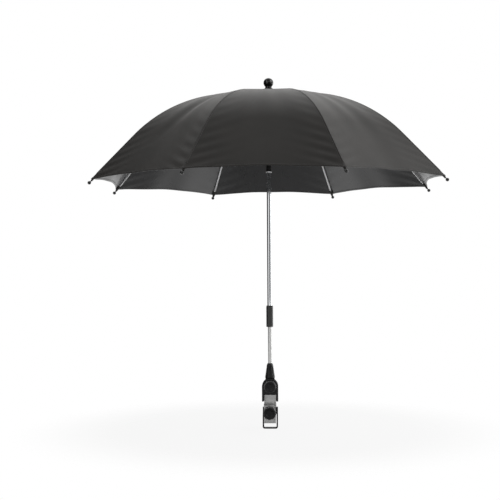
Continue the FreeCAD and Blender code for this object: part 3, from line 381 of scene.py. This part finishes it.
# Cover: black polyester pongee, cut in gores and sewn along the ribs into one stretched sheet, with a
# black vinyl coat inside. Here each gore reaches from one mid-panel line over its rib to the next, so
# that it folds with that rib.
HALF_STEP = math.pi / RIBS
CLOTH_TOP = 0.759
CLOTH_INNER = 0.017
CLOTH_THICK = 0.0005
RIM_RADIUS = 0.425
RIM_DROP = 0.223
ROOT_SLOPE = math.radians(8.5)
OUTER_SLOPE = math.radians(46)
BEND_RADIUS = 0.350
PANEL_DIP = 0.008
HEM_RISE = 0.015
SLACK_PANEL = 4
HEM_WAVE = 0.0009
FAN_CREASE = 0.0006
CROWN_PUCKER = 0.0006
SEAM_PULL = 0.0005
SLACK_VALLEY = 0.0032
run = RIM_RADIUS - BEND_RADIUS * (math.sin(OUTER_SLOPE) - math.sin(ROOT_SLOPE))
fall = RIM_DROP - BEND_RADIUS * (math.cos(ROOT_SLOPE) - math.cos(OUTER_SLOPE))
turned = math.sin(OUTER_SLOPE - ROOT_SLOPE)
root_length = (run * math.sin(OUTER_SLOPE) - fall * math.cos(OUTER_SLOPE)) / turned
bend_reach = root_length * math.cos(ROOT_SLOPE)


def ripple(panel, share, down):
    """Height of the soft creases of a panel, all of which vanish on the ribs: sines for slack waves near
    the hem, long creases that fan out from the crown, puckers at the crown and along the seams, and on the
    slack panel one bell-shaped valley that runs from the crown towards its first rib."""
    taut = np.sin(math.pi * share)
    turn = 2.4 * panel + 0.7
    hem = HEM_WAVE * down ** 3 * np.sin(2 * math.pi * 2.5 * share + turn)
    rays = np.sin(2 * math.pi * (3.2 * share - 0.8 * down) + turn)
    fan = FAN_CREASE * rays * np.sin(math.pi * down) ** 2
    pucker = CROWN_PUCKER * np.exp(-down / 0.12) * np.sin(2 * math.pi * 5 * share + turn)
    near = np.minimum(share, 1 - share) / 0.06
    tugs = np.sin(2 * math.pi * (6 + 5 * down) * down + 1.5 * near + turn)
    pull = SEAM_PULL * down ** 2 * near * np.exp(1 - near) * tugs
    length = np.sin(math.pi * np.clip((down - 0.10) / 0.72, 0, 1))
    valley = np.where(panel == SLACK_PANEL, SLACK_VALLEY, 0.0) * length
    valley = valley * np.exp(-((share - 0.78 + 0.55 * down) / 0.10) ** 2)
    return taut * (hem + fan + pucker - valley) + pull


def cover(part, down, rib):
    """Points, outward normals and distances down and across on the cover. Part runs from -1 to 1 across a
    gore with 0 on the rib, and down from 0 to 1. Each line down is a straight, an arc and a straight;
    between the ribs it is drawn in to the panel's chord, dips and ends higher, and creases are added along
    the normal."""
    part, down = np.broadcast_arrays(np.asarray(part, float), np.asarray(down, float))
    share = 1 - (1 - np.abs(part)) ** 2
    angle = part * HALF_STEP
    flatten = math.cos(HALF_STEP) / np.cos(HALF_STEP - np.abs(angle))
    steep_in = np.arctan(math.tan(ROOT_SLOPE) / flatten)
    steep_out = np.arctan(math.tan(OUTER_SLOPE) / flatten)
    sin_in, cos_in = np.sin(steep_in), np.cos(steep_in)
    sin_out, cos_out = np.sin(steep_out), np.cos(steep_out)
    dip, rise = PANEL_DIP * share, HEM_RISE * share
    begin_r, begin_z = CLOTH_INNER * flatten, CLOTH_TOP - CLOTH_INNER * math.tan(ROOT_SLOPE)
    end_r = RIM_RADIUS * flatten - dip * sin_out - rise * cos_out
    end_z = CLOTH_TOP - RIM_DROP - dip * cos_out + rise * sin_out
    first = (bend_reach - CLOTH_INNER) * flatten / cos_in
    run = end_r - begin_r - first * cos_in
    fall = begin_z - end_z - first * sin_in
    open_part = 1 - np.cos(steep_out - steep_in)
    radius = (run * sin_out - fall * cos_out) / open_part
    last = ((sin_out - sin_in) * fall - (cos_in - cos_out) * run) / open_part
    arc = radius * (steep_out - steep_in)
    way = down * (first + arc + last)
    on_first = np.minimum(way, first)
    slope = steep_in + np.clip(way - first, 0, arc) / radius
    on_last = np.maximum(way - first - arc, 0)
    r = begin_r + on_first * cos_in + radius * (np.sin(slope) - sin_in) + on_last * cos_out
    z = begin_z - on_first * sin_in - radius * (cos_in - np.cos(slope)) - on_last * sin_out
    panel = np.where(part < 0, (rib - 1) % RIBS, rib)
    lift = ripple(panel, np.where(part < 0, 1 + part / 2, part / 2), down)
    azimuth = HALF_STEP * (2 * rib + 1) + angle
    outward = np.stack([np.cos(azimuth), np.sin(azimuth), 0 * azimuth], axis=-1)
    upward = np.array([0.0, 0.0, 1.0])
    facing = np.sin(slope)[..., None] * outward + np.cos(slope)[..., None] * upward
    spots = r[..., None] * outward + z[..., None] * upward + facing * lift[..., None]
    return spots, facing, way, r * angle


def cloth_shell(name, outer, inner, places, finishes):
    """Closed thin sheet between an outer and an inner grid, with the outer face in the first finish, the
    inner face in the second, its four edges in the first, and a map of distances in metres along the
    cloth."""
    rows, columns = outer.shape[:2]
    top = np.arange(rows * columns).reshape(rows, columns)
    under = top + rows * columns
    upper = np.stack([top[:-1, :-1], top[1:, :-1], top[1:, 1:], top[:-1, 1:]], axis=-1).reshape(-1, 4)
    lower = np.stack([under[:-1, :-1], under[:-1, 1:], under[1:, 1:], under[1:, :-1]], axis=-1)
    lower = lower.reshape(-1, 4)
    ring = np.concatenate([top[0, :-1], top[:-1, -1], top[-1, :0:-1], top[:0:-1, 0]])
    after = np.roll(ring, -1)
    border = np.stack([ring, after, after + rows * columns, ring + rows * columns], axis=-1)
    mesh = bpy.data.meshes.new(name)
    points = np.concatenate([outer.reshape(-1, 3), inner.reshape(-1, 3)])
    mesh.from_pydata(points.tolist(), [], np.concatenate([upper, lower, border]).tolist())
    which = np.repeat([0, 1, 0], [len(upper), len(lower), len(border)])
    weave = mesh.uv_layers.new(name="weave")
    corner = np.empty(len(mesh.loops), dtype=int)
    mesh.loops.foreach_get("vertex_index", corner)
    weave.data.foreach_set("uv", np.tile(places.reshape(-1, 2), (2, 1))[corner].ravel())
    piece = finished(name, mesh, finishes)
    mesh.polygons.foreach_set("material_index", which)
    mesh.set_sharp_from_angle(angle=math.radians(50))
    return piece


pongee, tree, shader = new_finish("black_polyester_pongee", Sheen_Weight=0.16, Sheen_Roughness=0.40,
                                   Sheen_Tint=linear("#c8c4be"), Specular_IOR_Level=0.24)
threads = add(tree, "ShaderNodeUVMap", uv_map="weave").outputs["UV"]
place = add(tree, "ShaderNodeTexCoord").outputs["Object"]
# Threads lie about 0.25 mm apart and are drawn at 1.2 mm so that the weave shows
THREAD_GAP = 0.0012
period = 2 * math.pi / 20
warp = add(tree, "ShaderNodeTexWave", {"Scale": period / THREAD_GAP}, {"Vector": threads},
           bands_direction="X")
weft = add(tree, "ShaderNodeTexWave", {"Scale": period / THREAD_GAP}, {"Vector": threads},
           bands_direction="Y")
weave = add(tree, "ShaderNodeMath", links={0: warp.outputs["Fac"], 1: weft.outputs["Fac"]},
            operation="MULTIPLY")
slubs = add(tree, "ShaderNodeMapping", {"Scale": (1 / 0.0016, 1 / 0.030, 1.0)}, {"Vector": threads})
uneven = add(tree, "ShaderNodeTexNoise", {"Scale": 1.0, "Detail": 2.0},
             {"Vector": slubs.outputs["Vector"]})
worn = add(tree, "ShaderNodeTexNoise", {"Scale": 1 / 0.07, "Detail": 3.0}, {"Vector": place})
mixed = add(tree, "ShaderNodeMath", {1: 0.35}, {0: uneven.outputs["Fac"], 2: worn.outputs["Fac"]},
            operation="MULTIPLY_ADD")
tone = add(tree, "ShaderNodeValToRGB", links={"Fac": mixed.outputs["Value"]})
tone.color_ramp.elements[0].position = 0.35
tone.color_ramp.elements[0].color = linear("#1e1d1b")
tone.color_ramp.elements[1].position = 0.95
tone.color_ramp.elements[1].color = linear("#272523")
gloss = add(tree, "ShaderNodeMapRange", {"To Min": 0.50, "To Max": 0.62},
            {"Value": uneven.outputs["Fac"]})
grain = add(tree, "ShaderNodeBump", {"Strength": 0.08, "Distance": 0.0002},
            {"Height": weave.outputs["Value"]})
tree.links.new(tone.outputs["Color"], shader.inputs["Base Color"])
tree.links.new(gloss.outputs["Result"], shader.inputs["Roughness"])
tree.links.new(grain.outputs["Normal"], shader.inputs["Normal"])

# The coated side is a touch cooler and smoother, so it shines where light grazes it
coated, tree, shader = new_finish("black_vinyl_coat", IOR=1.65)
threads = add(tree, "ShaderNodeUVMap", uv_map="weave").outputs["UV"]
weft = add(tree, "ShaderNodeTexWave", {"Scale": period / THREAD_GAP}, {"Vector": threads},
           bands_direction="Y")
slubs = add(tree, "ShaderNodeMapping", {"Scale": (1 / 0.004, 1 / 0.040, 1.0)}, {"Vector": threads})
uneven = add(tree, "ShaderNodeTexNoise", {"Scale": 1.0, "Detail": 3.0},
             {"Vector": slubs.outputs["Vector"]})
tone = add(tree, "ShaderNodeValToRGB", links={"Fac": uneven.outputs["Fac"]})
tone.color_ramp.elements[0].color = linear("#1c1c1d")
tone.color_ramp.elements[1].color = linear("#262627")
gloss = add(tree, "ShaderNodeMapRange", {"To Min": 0.24, "To Max": 0.34}, {"Value": uneven.outputs["Fac"]})
grain = add(tree, "ShaderNodeBump", {"Strength": 0.03, "Distance": 0.0002}, {"Height": weft.outputs["Fac"]})
tree.links.new(tone.outputs["Color"], shader.inputs["Base Color"])
tree.links.new(gloss.outputs["Result"], shader.inputs["Roughness"])
tree.links.new(grain.outputs["Normal"], shader.inputs["Normal"])

across = np.linspace(-1, 1, 73)[None, :]
down = np.linspace(0, 1, 141)[:, None]
gores = []
for k in range(RIBS):
    outer, facing, way, side = cover(across, down, k)
    inner = outer - facing * CLOTH_THICK
    places = np.stack([side, way], axis=-1)
    gores.append(cloth_shell(f"cover_gore_{k + 1}", outer, inner, places, [pongee, coated]))

# Hem: the cover's edge turned in twice and sewn down with one row of lockstitch in black polyester
# thread. It is a soft, slightly thicker border, cloth outside and coat inside, with a row of short raised
# stitches on both faces.
HEM_WIDTH = 0.0055
HEM_THICK = 0.0014
HEM_LOOP = 20
STITCH = 0.0040
STITCH_INSET = 0.0016
EDGE_REACH = 0.0006
thread, tree, shader = new_finish("black_polyester_thread", Base_Color=linear("#2b2928"),
                                  Sheen_Weight=0.2)
place = add(tree, "ShaderNodeTexCoord").outputs["Object"]
twist = add(tree, "ShaderNodeTexNoise", {"Scale": 1 / 0.0006, "Detail": 2.0}, {"Vector": place})
gloss = add(tree, "ShaderNodeMapRange", {"To Min": 0.55, "To Max": 0.8}, {"Value": twist.outputs["Fac"]})
tree.links.new(gloss.outputs["Result"], shader.inputs["Roughness"])


def unit(vectors):
    """Vectors of length one."""
    return vectors / np.linalg.norm(vectors, axis=-1, keepdims=True)


def stitches(line, facing):
    """Points, quads and triangles of short spindles of thread along a line, one per stitch length, lying
    on the cloth: each is two square rings and two ends on the line's direction, with sizes in mm."""
    steps = np.concatenate([[0], np.cumsum(np.linalg.norm(np.diff(line, axis=0), axis=-1))])
    stops = np.arange(STITCH / 2, steps[-1], STITCH)
    centre = np.stack([np.interp(stops, steps, line[:, i]) for i in range(3)], axis=-1)
    up = unit(np.stack([np.interp(stops, steps, facing[:, i]) for i in range(3)], axis=-1))
    course = np.gradient(line, axis=0)
    ahead = unit(np.stack([np.interp(stops, steps, course[:, i]) for i in range(3)], axis=-1))
    aside = unit(np.cross(up, ahead))
    ring_shape = [(-0.28, 0), (0, 0.30), (0.28, 0), (0, -0.28)]
    rings = [(ahead_by, *corner) for ahead_by in (-0.8, 0.8) for corner in ring_shape]
    shape = np.array([(-1.35, 0, -0.15), *rings, (1.35, 0, -0.15)]) * 0.001
    points = (centre[:, None] + shape[None, :, :1] * ahead[:, None]
              + shape[None, :, 1:2] * aside[:, None] + shape[None, :, 2:] * up[:, None])
    ring = np.arange(4)
    after = (ring + 1) % 4
    sides = np.stack([1 + ring, 5 + ring, 5 + after, 1 + after], axis=-1)
    tail = np.stack([ring * 0, 1 + ring, 1 + after], axis=-1)
    head = np.stack([ring * 0 + 9, 5 + after, 5 + ring], axis=-1)
    first = 10 * np.arange(len(stops))[:, None, None]
    ends = np.concatenate([tail, head])
    quads = (sides[None] + first).reshape(-1, 4)
    triangles = (ends[None] + first).reshape(-1, 3)
    return points.reshape(-1, 3), quads, triangles


def sewn(name, rows):
    """One object of thread from several rows of stitches."""
    points, quads, triangles, count = [], [], [], 0
    for line, facing in rows:
        row_points, row_quads, row_triangles = stitches(line, facing)
        points.append(row_points)
        quads.extend((row_quads + count).tolist())
        triangles.extend((row_triangles + count).tolist())
        count += len(row_points)
    mesh = bpy.data.meshes.new(name)
    mesh.from_pydata(np.concatenate(points).tolist(), [], quads + triangles)
    return finished(name, mesh, [thread])


def band(line, along, facing, width, thick, drop):
    """Grid of a flat rounded loop carried along a line: the loop reaches width up the cloth from just past
    its edge, is thick in all, and has its middle drop below the cloth's face."""
    loop = np.linspace(0, 2 * math.pi, HEM_LOOP, endpoint=False)
    reach = width / 2 * (np.sign(np.cos(loop)) * np.abs(np.cos(loop)) ** 0.35 - 1) + EDGE_REACH
    rise = thick / 2 * np.sign(np.sin(loop)) * np.abs(np.sin(loop)) ** 0.7 - drop
    along_loop = reach[None, :, None] * along[:, None]
    return line[:, None] + along_loop + rise[None, :, None] * facing[:, None]


hems = []
for k in range(RIBS):
    rim, facing, _, _ = cover(across[0], 1.0, k)
    above, _, _, _ = cover(across[0], 0.99, k)
    slope_way = unit(rim - above)
    facing = unit(facing - (facing * slope_way).sum(axis=-1, keepdims=True) * slope_way)
    border = band(rim, slope_way, facing, HEM_WIDTH, HEM_THICK, CLOTH_THICK / 2)
    hem = skin(f"hem_{k + 1}", border, pongee)
    loop_side = np.arange(HEM_LOOP) >= HEM_LOOP / 2
    inner = np.concatenate([np.tile(loop_side, len(rim) - 1), np.zeros(2 * HEM_LOOP, dtype=bool)])
    hem.data.materials.append(coated)
    hem.data.polygons.foreach_set("material_index", inner.astype(int))
    row = rim - slope_way * (HEM_WIDTH - STITCH_INSET)
    outside = (row + facing * (HEM_THICK - CLOTH_THICK) / 2, facing)
    inside = (row - facing * (HEM_THICK + CLOTH_THICK) / 2, -facing)
    hems.append((hem, sewn(f"hem_stitches_{k + 1}", [outside, inside])))

# Rib seams and corner pockets: over each rib the panels are joined by a flat felled seam between two
# rows of stitches, and at each corner a small folded pocket of the same cloth takes the rib's end.
SEAM_HALF = 0.0019
SEAM_RISE = 0.00045
SEAM_SIDE = 0.0026
POCKET_START = 0.972
POCKET_REACH = 0.0035
POCKET_WIDE = (0.0044, 0.0026)
POCKET_TALL = (0.0025, 0.0021)
down_rib = np.linspace(0.035, 0.965, 160)
seams, pockets = [], []
for k in range(RIBS):
    ridge, facing, _, _ = cover(0.0, down_rib, k)
    azimuth = HALF_STEP * (2 * k + 1)
    sideways = np.array([-math.sin(azimuth), math.cos(azimuth), 0.0])
    loop = np.linspace(0, 2 * math.pi, 16, endpoint=False)[None, :, None]
    lift = SEAM_RISE * np.sin(loop) - 2 * SEAM_RISE * np.cos(loop) ** 2 + 0.0001
    felled = ridge[:, None] + SEAM_HALF * np.cos(loop) * sideways + lift * facing[:, None]
    seam = skin(f"rib_seam_{k + 1}", felled, pongee)
    rows = []
    for sign in (-1, 1):
        reach = np.linalg.norm(ridge[:, :2], axis=-1)
        rows.append(cover(sign * SEAM_SIDE / (reach * HALF_STEP), down_rib, k)[:2])
    seams.append((seam, sewn(f"seam_stitches_{k + 1}", rows)))
    end, end_facing, _, _ = cover(0.0, np.array([POCKET_START, 1.0]), k)
    way_out = unit(end[1] - end[0])
    share = np.linspace(0, 1, 22)[:, None, None]
    under = end_facing[1] * (0.0029 + 0.0005 * share)
    middle = end[0] + (end[1] + POCKET_REACH * way_out - end[0]) * share - under
    wide = POCKET_WIDE[0] * (1 - share) ** 0.8 + POCKET_WIDE[1] * share
    tall = POCKET_TALL[0] * (1 - share) + POCKET_TALL[1] * share
    sleeve = middle + wide * np.cos(loop) * sideways + tall * np.sin(loop) * end_facing[1]
    pockets.append(skin(f"corner_pocket_{k + 1}", sleeve, pongee))

# Each gore, its hem, seam, their stitches and its corner pocket ride on their rib's arm, and the gore and
# hem get meshes of their own. A folded gore keeps 0.36 of its width, so that neighbouring gores meet below
# and stay apart near the crown
for k, gore in enumerate(gores):
    azimuth = HALF_STEP * (2 * k + 1)
    sideways = (-math.sin(azimuth), math.cos(azimuth), 0.0)
    sewn_on = [*hems[k], *seams[k], pockets[k]]
    for piece in [gore, *sewn_on]:
        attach(piece, f"rib_arm_{k + 1}")
    for piece in [gore, *hems[k]]:
        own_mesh(piece)
    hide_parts(f"canopy_{k + 1}")

# Canopy cap: a round patch of the same cloth under the finial, over the gores' inner edges, sewn round
# with one row of stitches and gathered a little towards its edge by the finial's foot.
CAP_RADIUS = 0.022
CAP_HOLE = 0.0036
CAP_FOOT = 0.0105
CAP_SEAM = 0.0195
turn = np.linspace(0, 2 * math.pi, 128, endpoint=False)[:, None]
reach = np.linspace(CAP_HOLE, CAP_RADIUS, 24)[None, :]
gather = 0.00022 * np.sin(16 * turn) * np.clip((reach - 0.009) / 0.010, 0, 1)
settle = np.clip((reach - CAP_FOOT) / (CAP_RADIUS - CAP_FOOT), 0, 1) * 0.0023
height = CLOTH_TOP - 0.0001 - settle + gather
disc = np.stack([reach * np.cos(turn), reach * np.sin(turn), height], axis=-1)
lower = disc - np.array([0, 0, CLOTH_THICK])
loop = np.concatenate([disc, lower[:, ::-1]], axis=1)


def ring_skin(name, grid, finish):
    """Mesh of a grid that closes both ways, such as a loop carried round a circle."""
    rows, columns = grid.shape[:2]
    spot = np.arange(rows * columns).reshape(rows, columns)
    beside, after = np.roll(spot, -1, axis=1), np.roll(spot, -1, axis=0)
    both = np.roll(beside, -1, axis=0)
    mesh = bpy.data.meshes.new(name)
    quads = np.stack([spot, beside, both, after], axis=-1).reshape(-1, 4)
    mesh.from_pydata(grid.reshape(-1, 3).tolist(), [], quads.tolist())
    weave = mesh.uv_layers.new(name="weave")
    corner = np.empty(len(mesh.loops), dtype=int)
    mesh.loops.foreach_get("vertex_index", corner)
    weave.data.foreach_set("uv", grid[..., :2].reshape(-1, 2)[corner].ravel())
    return finished(name, mesh, [finish])


cap = ring_skin("cap_patch", loop, pongee)
circle = np.linspace(0, 2 * math.pi, 200)
cap_level = 0 * circle + CLOTH_TOP - 0.0018
cap_line = np.stack([CAP_SEAM * np.cos(circle), CAP_SEAM * np.sin(circle), cap_level], axis=-1)
cap_row = sewn("cap_stitches", [(cap_line, np.tile([0.0, 0.0, 1.0], (len(circle), 1)))])
for piece in (cap, cap_row):
    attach(piece, "upper_pole")
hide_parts("canopy_cap")

# Studio: a pale paper floor just under the clamp that fades into a white surround, four soft lamps (high
# on the right, low on the right, high behind and front left), and four black felt boards (left, front,
# right and overhead) that give bright metal its dark edges and keep the cloth black.
FLOOR = cad_box[0][2] - 0.0005
FLOOR_REACH = 3.0


def card(name, corners, finish):
    """Flat four-cornered card of the studio."""
    mesh = bpy.data.meshes.new(name)
    mesh.from_pydata(corners, [], [(0, 1, 2, 3)])
    mesh.materials.append(finish)
    piece = bpy.data.objects.new(name, mesh)
    bpy.context.scene.collection.objects.link(piece)


# Paper is pale grey to the lamps, shows nearly white to the camera and keeps a light shadow
paper, tree, shader = new_finish("pale_paper", Base_Color=linear("#b8b8b8"), Roughness=0.9,
                                 Specular_IOR_Level=0.0)
place = add(tree, "ShaderNodeTexCoord").outputs["Object"]
away = add(tree, "ShaderNodeVectorMath", {1: (1.0, 1.0, 0.0)}, {0: place}, operation="MULTIPLY")
reach = add(tree, "ShaderNodeVectorMath", links={0: away.outputs["Vector"]}, operation="LENGTH")
fade = add(tree, "ShaderNodeMapRange", {"From Min": 0.32, "From Max": 0.62},
           {"Value": reach.outputs["Value"]}, interpolation_type="SMOOTHSTEP")
ray = add(tree, "ShaderNodeLightPath")
share = add(tree, "ShaderNodeMath", {1: 0.90}, {0: ray.outputs["Is Camera Ray"]}, operation="MULTIPLY")
white = add(tree, "ShaderNodeEmission")
lit = add(tree, "ShaderNodeMixShader", links={0: share.outputs["Value"], 1: shader.outputs["BSDF"],
                                              2: white.outputs["Emission"]})
clear = add(tree, "ShaderNodeBsdfTransparent")
blend = add(tree, "ShaderNodeMixShader", links={0: fade.outputs["Result"], 1: lit.outputs["Shader"],
                                                2: clear.outputs["BSDF"]})
tree.links.new(blend.outputs["Shader"], tree.nodes["Material Output"].inputs["Surface"])
card("floor", [(-FLOOR_REACH, -FLOOR_REACH, FLOOR), (FLOOR_REACH, -FLOOR_REACH, FLOOR),
               (FLOOR_REACH, FLOOR_REACH, FLOOR), (-FLOOR_REACH, FLOOR_REACH, FLOOR)], paper)

# Felt boards stand outside the picture, so the camera looks through them
felt, tree, shader = new_finish("black_felt", Base_Color=linear("#0a0a0a"), Roughness=1.0,
                                Specular_IOR_Level=0.0)
ray = add(tree, "ShaderNodeLightPath")
clear = add(tree, "ShaderNodeBsdfTransparent")
blend = add(tree, "ShaderNodeMixShader", links={0: ray.outputs["Is Camera Ray"], 1: shader.outputs["BSDF"],
                                                2: clear.outputs["BSDF"]})
tree.links.new(blend.outputs["Shader"], tree.nodes["Material Output"].inputs["Surface"])
for side, near, far, low, top in (("left", (-1.60, -1.10), (-2.00, 3.20), FLOOR, 2.50),
                                  ("front", (-0.15, -1.70), (1.10, -1.50), 0.20, 1.20),
                                  ("right", (2.50, -1.50), (2.60, -0.40), FLOOR, 0.85)):
    card(f"felt_board_{side}", [(*near, low), (*far, low), (*far, top), (*near, top)], felt)
TOP_HEIGHT = 2.2
TOP_HALF = 0.7
TOP_NEAR = -1.40
TOP_FAR = -0.35
card("felt_board_top", [(-TOP_HALF, TOP_NEAR, TOP_HEIGHT), (TOP_HALF, TOP_NEAR, TOP_HEIGHT),
                        (TOP_HALF, TOP_FAR, TOP_HEIGHT), (-TOP_HALF, TOP_FAR, TOP_HEIGHT)], felt)

world = bpy.data.worlds.new("white_surround")
bpy.context.scene.world = world
world.use_nodes = True
tree = world.node_tree
ray = add(tree, "ShaderNodeLightPath")
seen = add(tree, "ShaderNodeMath", links={0: ray.outputs["Is Camera Ray"], 1: ray.outputs["Is Glossy Ray"]},
           operation="MAXIMUM")
seen = add(tree, "ShaderNodeMath", links={0: seen.outputs["Value"], 1: ray.outputs["Is Transmission Ray"]},
           operation="MAXIMUM")
level = add(tree, "ShaderNodeMapRange", {"To Min": 0.5, "To Max": 1.0}, {"Value": seen.outputs["Value"]})
tree.links.new(level.outputs["Result"], tree.nodes["Background"].inputs["Strength"])
tree.nodes["Background"].inputs["Color"].default_value = (1.0, 1.0, 1.0, 1.0)


def softbox(name, spot, aim, size, power):
    """Square lamp at a spot, turned to face its aim."""
    lamp = bpy.data.lights.new(name, "AREA")
    lamp.size = size
    lamp.energy = power
    holder = bpy.data.objects.new(name, lamp)
    holder.location = spot
    way = np.array(aim) - np.array(spot)
    tilt = math.atan2(math.hypot(way[0], way[1]), -way[2])
    holder.rotation_euler = (tilt, 0, math.atan2(way[1], way[0]) - math.pi / 2)
    bpy.context.scene.collection.objects.link(holder)


softbox("key_softbox", (2.4, -0.6, 2.4), (0.0, 0.0, 0.6), 1.4, 36)
softbox("side_softbox", (2.4, 0.9, 0.5), (0.0, 0.0, 0.5), 1.0, 14)
softbox("back_softbox", (0.1, 1.5, 2.5), (0.0, 0.0, 0.5), 2.0, 17)
softbox("front_softbox", (-1.6, -1.5, 2.0), (0.0, 0.0, 0.4), 0.7, 6)

# Camera: a long lens level with the middle of the pole, slightly right of the front
lens = bpy.data.cameras.new("camera")
lens.lens = 76.7
lens.sensor_width = 36
camera = bpy.data.objects.new("camera", lens)
heading = Matrix.Rotation(math.radians(2.485), 4, "Z")
pitch = Matrix.Rotation(math.radians(90.947), 4, "X")
roll = Matrix.Rotation(math.radians(-0.306), 4, "Z")
camera.matrix_world = Matrix.Translation((0.0636, -2.5198, 0.3358)) @ heading @ pitch @ roll
bpy.context.scene.collection.objects.link(camera)
bpy.context.scene.camera = camera
bpy.context.scene.view_settings.view_transform = "Standard"
